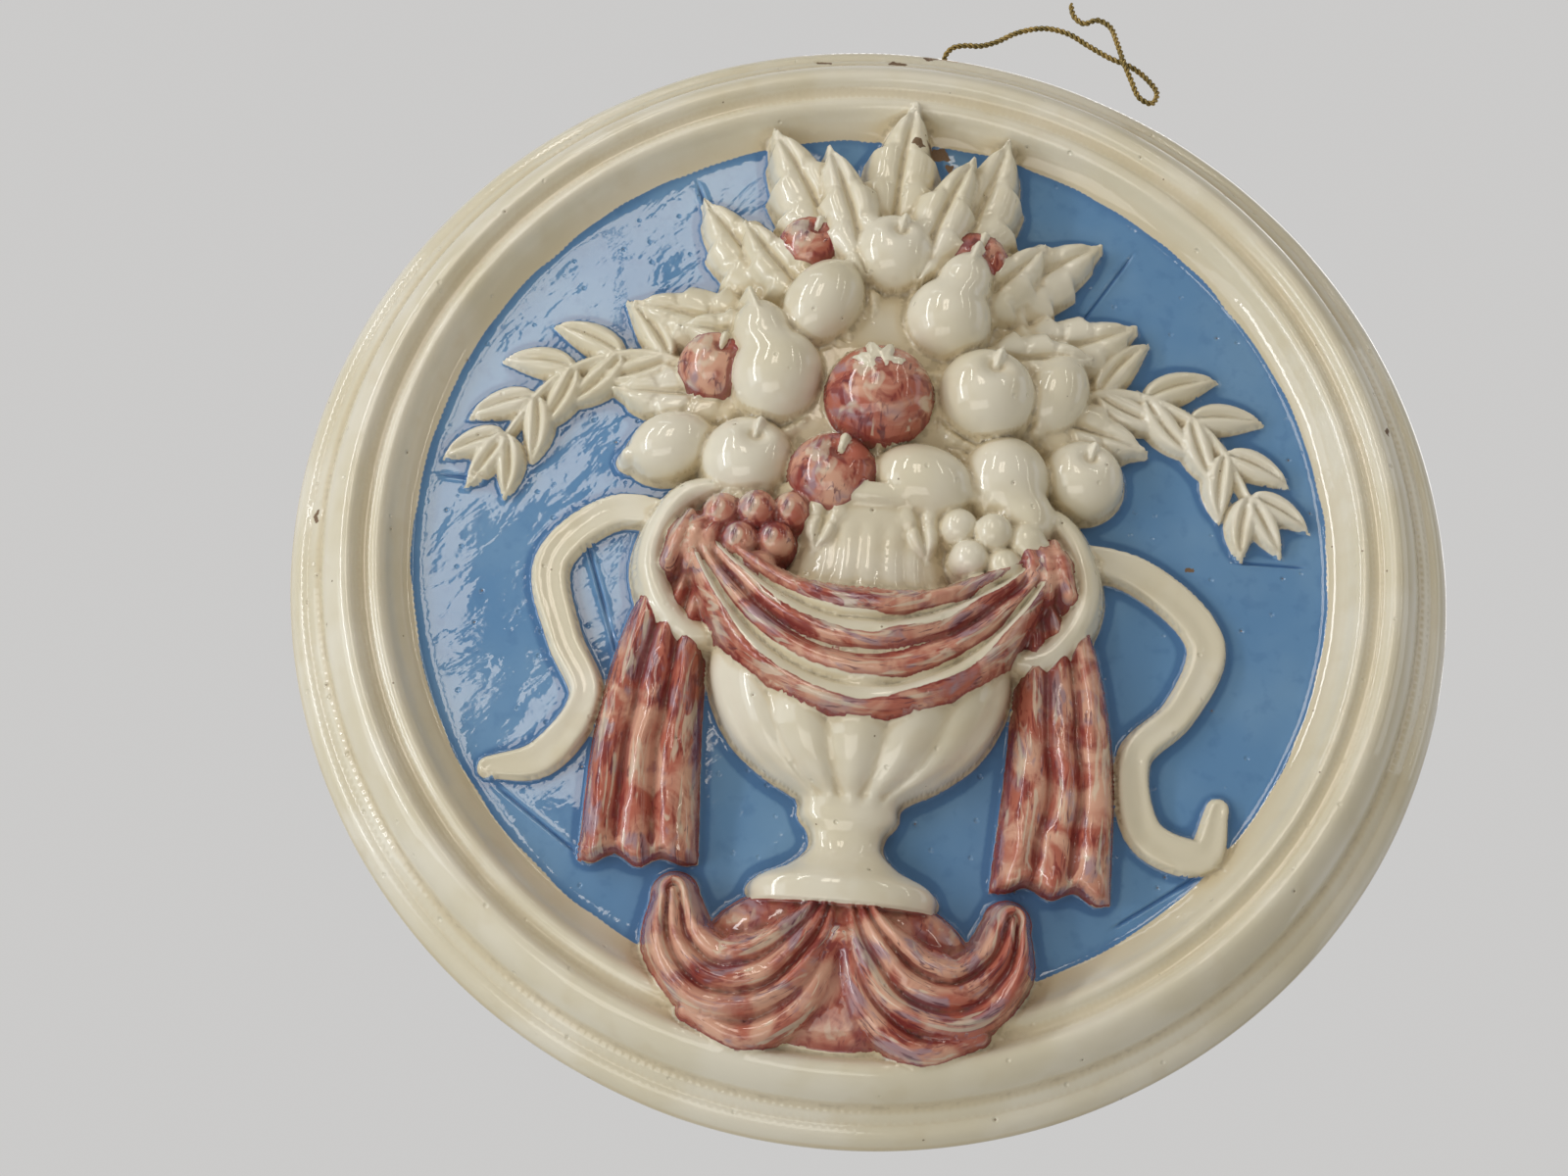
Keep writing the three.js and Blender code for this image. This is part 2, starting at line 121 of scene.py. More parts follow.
def addNode(tree, kind, inputs=None, **settings):
    node = tree.nodes.new(kind)
    for name, value in settings.items():
        setattr(node, name, value)
    for name, value in (inputs or {}).items():
        if isinstance(value, bpy.types.NodeSocket):
            tree.links.new(value, node.inputs[name])
        else:
            node.inputs[name].default_value = value
    return node


def calc(tree, operation, *values):
    node = addNode(tree, "ShaderNodeMath", dict(enumerate(values)), operation=operation)
    return node.outputs[0]


def vectorCalc(tree, operation, inputs):
    return addNode(tree, "ShaderNodeVectorMath", inputs, operation=operation).outputs[0]


def between(tree, value, low, high, toLow=0.0, toHigh=1.0):
    # a soft step from one value to another
    inputs = {"Value": value, "From Min": low, "From Max": high, "To Min": toLow, "To Max": toHigh}
    return addNode(tree, "ShaderNodeMapRange", inputs, interpolation_type="SMOOTHSTEP").outputs["Result"]


def mix(tree, share, first, second):
    return addNode(tree, "ShaderNodeMix", {0: share, 6: first, 7: second}, data_type="RGBA").outputs[2]


def noise(tree, place, size, detail=2.0, roughness=0.5, distortion=0.0):
    # size is the width of a patch in millimetres
    inputs = {"Vector": place, "Scale": 1000 / size, "Detail": detail, "Roughness": roughness,
              "Distortion": distortion}
    return addNode(tree, "ShaderNodeTexNoise", inputs).outputs["Fac"]


def newMaterial(name):
    material = bpy.data.materials.new(name)
    material.use_nodes = True
    material.node_tree.nodes.clear()
    return material, material.node_tree


def finishMaterial(tree, inputs):
    shader = addNode(tree, "ShaderNodeBsdfPrincipled", inputs)
    addNode(tree, "ShaderNodeOutputMaterial", {"Surface": shader.outputs[0]})


def curveThrough(stops, perSpan, placeColumns=2):
    # a centripetal Catmull-Rom curve through the stops, with their sizes carried along
    stops = np.asarray(stops, float)
    padded = np.vstack([2 * stops[0] - stops[1], stops, 2 * stops[-1] - stops[-2]])
    shares = np.linspace(0, 1, perSpan, endpoint=False)[:, None]
    spans = []
    for before, start, end, after in zip(padded, padded[1:], padded[2:], padded[3:]):
        pairs = ((before, start), (start, end), (end, after))
        first, middle, last = (np.linalg.norm((b - a)[:placeColumns]) ** 0.5 for a, b in pairs)
        leave = (start - before) / first - (end - before) / (first + middle) + (end - start) / middle
        arrive = (end - start) / middle - (after - start) / (middle + last) + (after - end) / last
        leave, arrive = leave * middle, arrive * middle
        bend = -3 * start + 3 * end - 2 * leave - arrive
        curl = 2 * start - 2 * end + leave + arrive
        spans.append(start + leave * shares + bend * shares**2 + curl * shares**3)
    spans.append(stops[-1:])
    return np.vstack(spans)


# The hanging wire: its way through the hole, then its bends beyond the rim
wireSettings = {
    "diameter": 1.8,
    "wallGap": 0.4,
    "inside": (138, 145, 153, 164),  # radii from the plaque's centre
    # right, up from the mouth of the hole, and height from the wall
    "bends": (
        (0.5, 2.6, 1.5), (2.6, 5.2, 1.7), (6.4, 6.2, 1.9), (11, 6.4, 2), (16, 8.2, 2.2), (22.5, 12.1, 2.4),
        (31, 14.6, 2.2), (38.5, 13.6, 1.8), (45, 10, 1.5), (52, 6.2, 1.4), (59, 3.4, 1.4), (64, -0.8, 1.6),
        (66.9, -5.8, 2.3), (65.2, -10.2, 3.2), (61.2, -9, 4), (58.4, -3.4, 4.5), (55.7, 3.2, 4.7),
        (53.5, 10.2, 4.3), (51.2, 16.4, 3.4), (47.2, 18.8, 2.8), (43.2, 17.4, 2.4), (40, 19.9, 2.2),
        (38.8, 24.4, 2),
    ),
    "strandRadius": 0.46,
    "turnLength": 3.4,
    "stepsPerTurn": 11,
    "pointsPerBend": 8,
    "sides": 8,
    "brass": (168, 142, 82),
    "brassDark": (124, 108, 62),
    "brassWorn": (190, 168, 112),
}
wireHeight = wireSettings["wallGap"] + wireSettings["diameter"] / 2
mouth = np.array([holeX, holeY]) * plaqueRadius


def wireRoute():
    stops = [(holeX * radius, holeY * radius, wireHeight) for radius in wireSettings["inside"]]
    stops += [(mouth[0] + right, mouth[1] + up, high) for right, up, high in wireSettings["bends"]]
    line = curveThrough(stops, wireSettings["pointsPerBend"], placeColumns=3)
    return toFrame(line[:, 0], line[:, 1], line[:, 2])


def wireMaterial():
    material, tree = newMaterial("tarnishedBrassWire")
    place = addNode(tree, "ShaderNodeTexCoord").outputs["Object"]
    patches = noise(tree, place, 6, detail=3)
    fine = noise(tree, place, 0.9, detail=3)
    brass, dark, worn = (paint(*wireSettings[name]) for name in ("brass", "brassDark", "brassWorn"))
    colour = mix(tree, between(tree, patches, 0.35, 0.65), brass, dark)
    colour = mix(tree, between(tree, fine, 0.5, 0.75), colour, worn)
    roughness = between(tree, fine, 0.3, 0.7, 0.4, 0.6)
    bump = addNode(tree, "ShaderNodeBump", {"Height": fine, "Strength": 0.5, "Distance": 0.0001})
    finishMaterial(tree, {"Base Color": colour, "Metallic": 0.6, "Roughness": roughness,
                          "Normal": bump.outputs[0]})
    return material


def twistTree(material):
    # two strands that wind round each other along a line
    tree = bpy.data.node_groups.new("twistedWire", "GeometryNodeTree")
    tree.interface.new_socket("Geometry", in_out="INPUT", socket_type="NodeSocketGeometry")
    for name, kind in (("Strand radius", "Float"), ("Turns", "Float"), ("Steps", "Int"), ("Sides", "Int")):
        tree.interface.new_socket(name, in_out="INPUT", socket_type="NodeSocket" + kind)
    tree.interface.new_socket("Geometry", in_out="OUTPUT", socket_type="NodeSocketGeometry")
    given = tree.nodes.new("NodeGroupInput").outputs
    line = addNode(tree, "GeometryNodeMeshToCurve", {"Mesh": given["Geometry"]}).outputs[0]
    line = addNode(tree, "GeometryNodeResampleCurve", {"Curve": line, "Count": given["Steps"]}).outputs[0]
    share = addNode(tree, "GeometryNodeSplineParameter").outputs["Factor"]
    normal = addNode(tree, "GeometryNodeInputNormal").outputs[0]
    tangent = addNode(tree, "GeometryNodeInputTangent").outputs[0]
    across = vectorCalc(tree, "CROSS_PRODUCT", {0: tangent, 1: normal})
    angle = calc(tree, "MULTIPLY", calc(tree, "MULTIPLY", share, given["Turns"]), 2 * math.pi)
    circle = addNode(tree, "GeometryNodeCurvePrimitiveCircle",
                     {"Resolution": given["Sides"], "Radius": given["Strand radius"]}).outputs[0]
    joined = addNode(tree, "GeometryNodeJoinGeometry")
    for strand in range(2):
        turned = calc(tree, "ADD", angle, math.pi * strand)
        parts = []
        for axis, wave in ((normal, "COSINE"), (across, "SINE")):
            reach = calc(tree, "MULTIPLY", calc(tree, wave, turned), given["Strand radius"])
            parts.append(vectorCalc(tree, "SCALE", {0: axis, "Scale": reach}))
        offset = vectorCalc(tree, "ADD", {0: parts[0], 1: parts[1]})
        moved = addNode(tree, "GeometryNodeSetPosition", {"Geometry": line, "Offset": offset}).outputs[0]
        tube = addNode(tree, "GeometryNodeCurveToMesh",
                       {"Curve": moved, "Profile Curve": circle, "Fill Caps": True})
        tree.links.new(tube.outputs[0], joined.inputs[0])
    whole = addNode(tree, "GeometryNodeRealizeInstances", {"Geometry": joined.outputs[0]}).outputs[0]
    whole = addNode(tree, "GeometryNodeSetShadeSmooth", {"Geometry": whole}).outputs[0]
    whole = addNode(tree, "GeometryNodeSetMaterial", {"Geometry": whole, "Material": material}).outputs[0]
    addNode(tree, "NodeGroupOutput", {"Geometry": whole})
    return tree


def addWire():
    route = wireRoute()
    length = float(np.linalg.norm(np.diff(route, axis=0), axis=1).sum())
    turns = length * 1000 / wireSettings["turnLength"]
    lineMesh = bpy.data.meshes.new("wireLine")
    lineMesh.from_pydata(route.tolist(), [(i, i + 1) for i in range(len(route) - 1)], [])
    line = addObject("wireLine", lineMesh)
    material = wireMaterial()
    modifier = line.modifiers.new("twist", "NODES")
    modifier.node_group = twistTree(material)
    values = {
        "Strand radius": wireSettings["strandRadius"] / 1000,
        "Turns": turns,
        "Steps": int(turns * wireSettings["stepsPerTurn"]),
        "Sides": wireSettings["sides"],
    }
    for socket in modifier.node_group.interface.items_tree:
        if socket.in_out == "INPUT" and socket.name in values:
            modifier[socket.identifier] = values[socket.name]
    evaluated = line.evaluated_get(bpy.context.evaluated_depsgraph_get())
    mesh = bpy.data.meshes.new_from_object(evaluated)
    line.modifiers.clear()
    bpy.data.objects.remove(line)
    mesh.name = "twistedHangingWire"
    wire = addObject("twistedHangingWire", mesh)
    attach(wire, "root")
    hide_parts("hanging_wire")
    print("wire made,", round(length * 1000), "mm,", len(mesh.polygons), "faces")


addWire()


def softNoise(x, y, size, seed):
    # smooth repeatable noise from -1 to 1
    u, v = np.asarray(x) / size, np.asarray(y) / size
    u, v = np.broadcast_arrays(u, v)
    column, row = np.floor(u).astype(np.int64), np.floor(v).astype(np.int64)
    shareX, shareY = u - column, v - row
    shareX, shareY = (s * s * s * (s * (s * 6 - 15) + 10) for s in (shareX, shareY))

    def corner(right, up):
        mixed = ((column + right) * 374761393 + (row + up) * 668265263 + seed * 974634777) & 0xFFFFFFFF
        mixed = ((mixed ^ (mixed >> 13)) * 1274126177) & 0xFFFFFFFF
        return ((mixed ^ (mixed >> 16)) & 0xFFFFFF) / 0x7FFFFF - 1

    low = corner(0, 0) * (1 - shareX) + corner(1, 0) * shareX
    high = corner(0, 1) * (1 - shareX) + corner(1, 1) * shareX
    return low * (1 - shareY) + high * shareY


def softStep(value, low, high):
    share = np.clip((value - low) / (high - low), 0, 1)
    return share * share * (3 - 2 * share)


def smoothMax(first, second, blend):
    return np.maximum(first, second) + np.maximum(blend - np.abs(first - second), 0) ** 2 / (4 * blend)


profileStep = 0.1  # millimetres


def profileTable():
    # radii and heights of the turned front, softened as thick glaze softens it
    radii = np.arange(0, plaqueRadius + profileStep / 2, profileStep)
    heights = np.full(radii.shape, groundHeight)
    outer, outerHeight = plaqueRadius, plaqueSizes["rimHeight"]
    for width, innerHeight, bulge in mouldings:
        share = (outer - radii) / width
        inside = (share >= 0) & (share <= 1)
        arc = np.sqrt(np.clip(1 - (2 * share - 1) ** 2, 0, 1))
        level = outerHeight + (innerHeight - outerHeight) * share + bulge * arc
        heights = np.where(inside, level, heights)
        outer, outerHeight = outer - width, innerHeight
    softened = []
    for size in (plaqueSizes["glazeSoftening"], plaqueSizes["fillet"]):
        reach = int(4 * size / profileStep)
        spread = np.exp(-0.5 * (np.arange(-reach, reach + 1) * profileStep / size) ** 2)
        softened.append(np.convolve(np.pad(heights, reach, mode="edge"), spread / spread.sum(), mode="valid"))
    crisp, filled = softened
    atEdge = softStep(-np.abs(radii - groundRadius), -6.5, -3.5)
    return radii, crisp + (filled - crisp) * atEdge


profileRadii, profileHeights = profileTable()


def tracePath(x, y, line, cutEnds=False):
    # the nearest place on a line: how far across (left is positive), how far along, how far past its ends
    steps = np.diff(line[:, :2], axis=0)
    lengths = np.linalg.norm(steps, axis=1)
    starts = np.concatenate([[0], np.cumsum(lengths)])
    best = np.full(x.shape, np.inf)
    across = np.zeros(x.shape)
    along = np.zeros(x.shape)
    past = np.zeros(x.shape)
    total = starts[-1]
    for i, (start, step, length) in enumerate(zip(line, steps, lengths)):
        wayX, wayY = step / length
        offX, offY = x - start[0], y - start[1]
        run = offX * wayX + offY * wayY
        side = wayX * offY - wayY * offX
        low = -np.inf if cutEnds and i == 0 else 0
        high = np.inf if cutEnds and i == len(steps) - 1 else length
        held = np.clip(run, low, high)
        distance = np.hypot(run - held, side)
        closer = distance < best
        best = np.where(closer, distance, best)
        across = np.where(closer, np.copysign(distance, side), across)
        along = np.where(closer, starts[i] + np.clip(run, 0, length), along)
        past = np.where(closer, np.maximum(-starts[i] - run, starts[i] + run - total), past)
    return across, along, past, starts


# How the relief meets what is round it, in layout units
reliefSettings = {
    "wallSlope": 4.0,
    "colourBlend": 0.7,
    "blueEdge": 128.7,
    "roughening": 0.3,
}


class Carving:
    # Heights over the ground at a set of points, and what is painted there. All lengths are in units.
    def __init__(self, x, y):
        self.x, self.y = x, y
        self.reach = np.hypot(x, y)
        self.high = (np.interp(self.reach * unit, profileRadii, profileHeights) - groundHeight) / unit
        edge = reliefSettings["blueEdge"] + 0.5 * softNoise(x, y, 9, 11)
        self.top = self.high.copy()
        self.second = np.full(x.shape, -99.0)
        self.blue = np.clip((edge - self.reach) / 1.2 + 0.5, 0, 1)
        self.mauve = np.zeros(x.shape)
        self.along = y.copy()
        self.across = x.copy()
        self.raised = np.zeros(x.shape)
        self.bare = np.zeros(x.shape)
        self.line = np.zeros(x.shape)

    def around(self, left, right, low, high):
        return np.nonzero((self.x > left) & (self.x < right) & (self.y > low) & (self.y < high))[0]

    def aroundLine(self, line, margin):
        x, y = line[:, 0], line[:, 1]
        return self.around(x.min() - margin, x.max() + margin, y.min() - margin, y.max() + margin)

    def put(self, near, high, blend, mauve=0.0, along=None, across=None):
        old = self.high[near]
        over = np.clip((high - old) / reliefSettings["colourBlend"] + 0.5, 0, 1)
        self.high[near] = smoothMax(old, high, blend)
        self.second[near] = np.maximum(self.second[near], np.minimum(self.top[near], high))
        self.top[near] = np.maximum(self.top[near], high)
        self.blue[near] *= 1 - over
        self.mauve[near] += (mauve - self.mauve[near]) * over
        self.raised[near] = np.maximum(self.raised[near], over)
        if along is not None:
            won = over > 0.5
            self.along[near] = np.where(won, along, self.along[near])
            self.across[near] = np.where(won, across, self.across[near])

    def ridge(self, stops, rise, section, blend=1.0, mauve=0.0, cutEnds=False, hem=0.0, perSpan=8):
        # a raised form that follows a path, each stop being (x, y, half width, height)
        line = curveThrough(stops, perSpan)
        near = self.aroundLine(line, line[:, 2].max() * 1.3 + 7)
        if len(near) == 0:
            return
        x, y = self.x[near], self.y[near]
        across, along, past, starts = tracePath(x, y, line, cutEnds)
        half = np.maximum(np.interp(along, starts, line[:, 2]), 0.25)
        top = np.interp(along, starts, line[:, 3])
        share = across / half
        inside = np.clip(share, -1, 1)
        level = top - rise + rise * section(inside, along)
        fall = np.maximum(np.abs(across) - half, 0)
        if cutEnds:
            edge = hem * (np.cos(inside * 7) + 0.6 * softNoise(x, y, 6, 3))
            fall = np.maximum(fall, past - edge)
        level = np.where(fall > 0, top - rise * 0.6 - fall * reliefSettings["wallSlope"], level)
        painted = mauve(inside, along) if callable(mauve) else mauve
        self.put(near, level, blend, painted, along, across)

    def boss(self, x, y, halfX, halfY, top, rise, turn=0.0, blend=0.8, mauve=0.0, dimple=0.0):
        # a rounded form such as a fruit, with a dimple near its top if it has one
        margin = max(halfX, halfY) * 1.3 + 6
        near = self.around(x - margin, x + margin, y - margin, y + margin)
        if len(near) == 0:
            return
        angle = math.radians(turn)
        offX, offY = self.x[near] - x, self.y[near] - y
        along = (offX * math.cos(angle) + offY * math.sin(angle)) / halfX
        up = (-offX * math.sin(angle) + offY * math.cos(angle)) / halfY
        out = (along**2 + up**2) ** 0.5
        level = top - rise + rise * np.sqrt(np.clip(1 - out**2, 0, 1))
        if dimple:
            level -= dimple * np.exp(-(((along - 0.12) / 0.26) ** 2) - ((up - 0.34) / 0.24) ** 2)
        wall = top - rise - (out - 1) * min(halfX, halfY) * reliefSettings["wallSlope"]
        level = np.where(out < 1, level, wall)
        self.put(near, level, blend, mauve, 1.5 * offY + 0.8 * offX, 0.35 * offX - 0.1 * offY)

    def leaf(self, x, y, length, width, heading, bend, top, rise, tipDrop, lobes=0, vein=1.0, blend=0.6):
        # a leaf with two swelling halves, a sunk midrib and side veins
        count = 10
        stops = []
        for i in range(count + 1):
            share = i / count
            angle = math.radians(heading + bend * (share - 0.3))
            if i:
                x += length / count * math.cos(angle)
                y += length / count * math.sin(angle)
            swell = math.sin(math.pi * share**0.8) ** 0.75 if 0 < i < count else 0
            half = max(width / 2 * swell * (1 - 0.15 * share), width * 0.03)
            stops.append((x, y, half, top - tipDrop * share**2))
        line = np.array(stops)
        near = self.aroundLine(line, width * 0.7 + 6)
        if len(near) == 0:
            return
        across, along, past, starts = tracePath(self.x[near], self.y[near], line)
        share = along / starts[-1]
        half = np.interp(along, starts, line[:, 2])
        height = np.interp(along, starts, line[:, 3])
        if lobes:
            tooth = (share * lobes + 0.35) % 1
            tooth = tooth**1.4 * (1 - softStep(tooth, 0.8, 1))
            half = half * (0.9 + 0.3 * tooth * softStep(share, 0.05, 0.2))
        out = np.clip(np.abs(across) / np.maximum(half, 0.1), 0, 1)
        swell = 0.45 * np.sqrt(1 - out**2) + 0.55 * np.sin(math.pi * np.clip(out * 0.9 + 0.1, 0, 1)) ** 0.8
        level = height - rise + rise * swell
        level -= vein * 1.5 * np.exp(-((across / 0.95) ** 2)) * softStep(1 - share, 0, 0.4)
        level -= 1.1 * softStep(share, 0.8, 1)
        if lobes:
            rib = np.abs(np.sin((share - out * 0.09 + 0.1) * math.pi * lobes))
            sideVeins = np.exp(-((rib / 0.3) ** 2)) * softStep(out, 0.05, 0.25)
            level -= 0.85 * vein * sideVeins * (1 - out**3)
        wall = height - rise - (np.abs(across) - half) * reliefSettings["wallSlope"]
        level = np.where(np.abs(across) < half, level, wall)
        self.put(near, level, blend, 0.0, along, across)


def roundSection(share, along):
    return np.sqrt(1 - share**2)


def ribbonSection(share, along):
    # flat, with a soft edge and a slight hollow along its middle
    edge = (1 - np.abs(share) ** 5) ** 0.2
    return edge - 0.16 * np.exp(-((share / 0.5) ** 2)) * edge


def ribSection(share, along):
    return (1 - np.abs(share) ** 1.6) ** 0.8


def foldSection(count, seed, wander=0.1):
    # folds that run along a cloth, a little uneven, as they are modelled by hand
    def section(share, along):
        swing = wander * softNoise(along, share * 2, 16, seed) * (1 - share**2)
        place = (share + swing) * count * math.pi / 2
        wave = np.abs(np.cos(place)) if count % 2 else np.abs(np.sin(place))
        crest = 0.4 + 0.6 * wave**0.75
        crest *= 1 + 0.07 * softNoise(along, share * 9, 9, seed + 1)
        fine = 0.05 * np.sin(place * 3 + 2 * softNoise(along, share * 3, 10, seed + 2))
        return (crest + fine) * (1 - np.abs(share) ** 7) ** (1 / 7)
    return section


def mirrored(stops, side):
    return [(side * x, *rest) for x, *rest in stops]


sides = (-1, 1)

clothSettings = {
    "footMound": (0, -120, 36, 23, 15.5, 12),
    "footFold": ((4, -102, 3, 13), (9, -113, 7, 19.5), (19, -123, 10, 20), (32, -125, 10, 19),
                 (41, -117, 8, 17), (44, -104, 4, 14.5)),
    "footHem": ((1, -112, 2.4, 17.5), (8, -130, 3.4, 18), (22, -139, 3.2, 16.5), (37, -134, 2.6, 14.5)),
    "tail": ((47, -6, 5, 9), (53, -26, 9, 11), (56, -58, 12.5, 11.5), (55, -94, 14.5, 10)),
    "swag": ((-48, -6, 4, 16), (-38, -18, 9, 21), (-21, -33, 15, 26.5), (0, -39, 18, 28.5),
             (21, -33, 15, 26.5), (38, -18, 9, 21), (48, -6, 4, 16)),
    "knot": (48, -8, 8.5, 8, 19, 9),
}


def carveFootCloth(carving):
    x, y, halfX, halfY, top, rise = clothSettings["footMound"]
    carving.boss(x, y, halfX, halfY, top, rise, blend=3, mauve=1)
    for side in sides:
        carving.ridge(mirrored(clothSettings["footFold"], side), 6.5, foldSection(3, 20 + side), 1.5, 1)
        carving.ridge(mirrored(clothSettings["footHem"], side), 4, roundSection, 2, 1)


def carveTails(carving):
    for side in sides:
        stops = mirrored(clothSettings["tail"], side)
        carving.ridge(stops, 6, foldSection(3, 30 + side), 1.2, 1, cutEnds=True, hem=1.3)


def swagBands(share, along):
    # the folds are painted by turns, with cream left between them
    wander = 0.25 * softNoise(along, share * 3, 12, 44)
    return softStep(np.cos(share * 2 * math.pi + 0.5) + wander, -0.95, -0.25)


def carveSwag(carving):
    carving.ridge(clothSettings["swag"], 7, foldSection(4, 40, 0.06), 1.2, swagBands, perSpan=10)
    x, y, halfX, halfY, top, rise = clothSettings["knot"]
    for side in sides:
        carving.boss(side * x, y, halfX, halfY, top, rise, blend=2, mauve=1)
        for lean in (-5, 0, 5):
            stops = [(side * (x - 3) + lean, y + 7, 1.4, top - 2.5),
                     (side * x + lean * 0.8, y, 2.2, top + 0.8),
                     (side * (x + 1) + lean * 1.2, y - 7, 1.8, top - 2.5)]
            carving.ridge(stops, 3, roundSection, 1.2, 1)


ribbonSettings = {
    "left": ((-50, 0, 3.4, 7.5), (-72, 2, 4.6, 5), (-88, -14, 5, 4.1), (-82, -36, 4.2, 5.1),
             (-74, -52, 4, 5.5), (-84, -70, 4.8, 4.1), (-98, -74, 2.8, 3.5)),
    "right": ((50, 0, 3.4, 7.5), (76, -4, 4.8, 5), (95, -22, 5, 4.1), (88, -42, 4, 5.1), (76, -56, 4, 5.5),
              (80, -77, 4.8, 4.3), (95, -81, 4.6, 4.1), (99, -68, 2.8, 3.5)),
    "rise": 3.6,
}


def carveRibbons(carving):
    for name in ("left", "right"):
        carving.ridge(ribbonSettings[name], ribbonSettings["rise"], ribbonSection, 1.0)


urnSettings = {
    # height in the layout and half width, from the foot up
    "outline": ((-104, 24), (-100, 24.5), (-97, 22), (-93, 14), (-88, 9), (-84, 9.5), (-80, 12.5),
                (-76, 13), (-70, 23), (-62, 32.5), (-52, 38.5), (-42, 41.2), (-33, 39.8), (-26, 34.5),
                (-20, 27), (-12, 23), (-4, 22.8), (3, 26), (7, 31), (11, 30)),
    "depthShare": 0.5,
    "lift": 5,
    "flutes": 7,
    "fluteDepth": 2.5,
    "neckFlutes": 11,
    "neckDepth": 0.7,
    # turned rings: height in the layout, half width, and how far they stand out
    "rings": ((-98, 1.2, 0.8), (-82, 1.0, 0.7), (-76.5, 1.0, 0.6), (-22, 1.0, 0.9), (4.5, 1.2, -0.8)),
    "band": ((-40, -31, 1.6, 8), (-20, -33, 1.7, 21.5), (0, -34, 1.8, 25), (20, -33, 1.7, 21.5),
             (40, -31, 1.6, 8)),
    "handle": ((34, -34, 4.2, 10), (50, -32, 4.6, 12.5), (60, -14, 4.6, 13.5), (52, 6, 4.4, 13.5),
               (38, 8, 3.6, 13.5), (27, 0, 3.4, 14)),
    "scroll": (36, 4, 5.2, 15.5),
}


def carveUrn(carving):
    line = curveThrough([(half, y) for y, half in urnSettings["outline"]], 8)
    near = carving.around(-56, 56, -112, 20)
    x, y = carving.x[near], carving.y[near]
    half = np.interp(y, line[:, 1], line[:, 0])
    share = np.abs(x) / half
    angle = np.arcsin(np.clip(x / half, -1, 1))
    depth = np.cos(angle)
    gadroon = np.clip((y + 78) / 6, 0, 1) * np.clip((-38 - y) / 10, 0, 1)
    lift, slope = urnSettings["lift"], reliefSettings["wallSlope"]
    level = lift + half * urnSettings["depthShare"] * depth
    neck = softStep(y, -21, -18) * softStep(y, 1, -2)
    for size, where, count in ((urnSettings["fluteDepth"], gadroon, urnSettings["flutes"]),
                               (urnSettings["neckDepth"], neck, urnSettings["neckFlutes"])):
        level += size * where * (np.abs(np.cos(angle * count)) - 0.5) * depth
    for at, reach, size in urnSettings["rings"]:
        level += size * np.exp(-(((y - at) / reach) ** 2)) * depth**0.5
    level = np.where(share < 1, level, lift - (share - 1) * half * slope)
    beyond = np.maximum(np.maximum(line[0, 1] - y, y - line[-1, 1]), 0)
    level = np.where(beyond > 0, np.minimum(level, lift) - beyond * slope, level)
    carving.put(near, level, 1.0, 0, y, x)
    carving.ridge(urnSettings["band"], 3, ribSection, 0.8)


def carveHandles(carving):
    x, y, size, top = urnSettings["scroll"]
    for side in sides:
        carving.ridge(mirrored(urnSettings["handle"], side), 8.5, roundSection, 1.0)
        carving.boss(side * x, y, size, size, top, 6, dimple=0.6)


branchSettings = {
    "stem": ((36, 34, 2.2, 7.5), (66, 50, 2, 6.5), (92, 42, 1.8, 5.3), (109, 17, 1.2, 3.5)),
    "pairs": 5,
    "turn": 42,
}


def carveBranches(carving):
    for side in sides:
        stem = mirrored(branchSettings["stem"], side)
        carving.ridge(stem, 3, ribSection, 0.8)
        line = curveThrough(stem, 20)
        for i in range(1, branchSettings["pairs"] + 1):
            share = 0.12 + 0.82 * i / branchSettings["pairs"]
            index = min(int(round(share * (len(line) - 1))), len(line) - 2)
            stepX, stepY = (line[index + 1] - line[index])[:2]
            heading = math.degrees(math.atan2(stepY, stepX))
            turns = [-branchSettings["turn"], branchSettings["turn"]]
            if i == branchSettings["pairs"]:
                turns.append(0)
            for turn in turns:
                carving.leaf(line[index, 0], line[index, 1], 26 - 7 * share, 11 - 2 * share, heading + turn,
                             -0.7 * turn, 7.2 - 1.8 * share, 3.4, 2.4, vein=0.9, blend=0.5)


heapSettings = {
    "centre": 44,
    # count, from, to (degrees), radius, squash, length, width, height, rise
    "backLeaves": (9, -6, 186, 30, 1.1, 47, 25, 10, 5),
    "frontLeaves": (6, 14, 166, 27, 1.15, 34, 20, 15, 6),
    "mound": (0, 44, 46, 40, 15, 13),
    "fillingLeaves": 22,
    "goldenAngle": 137.5,
    # x, y, radius, height, mauve
    "apples": ((58, 22, 12, 15.5, 0), (-36, 18, 13.5, 20.5, 0), (-12, 14, 13, 24, 1), (29, 42, 14, 26, 0),
               (-48, 46, 11, 17.5, 1), (0, 84, 12.5, 23.5, 0), (-24, 86, 10, 17.5, 1), (24, 85, 10, 17.5, 1)),
    "pomegranate": (-1, 38, 15.5, 29),
    # x, y, radius, height, turn
    "lemons": ((-58, 22, 11, 15.5, 20), (13, 14, 13, 23.5, -12), (49, 46, 11, 17.5, 70),
               (-19, 66, 12.5, 25, 60)),
    "pears": ((36, 18, 13.5, 20.5, -150), (-30, 43, 14, 25.5, 24), (17, 64, 13, 25.5, -18)),
    # x, y, radius, height, turn, rows, mauve
    "bunches": ((-32, 1, 5.4, 21, 6, 3, 1), (33, 0, 5.4, 21, -8, 3, 0)),
}


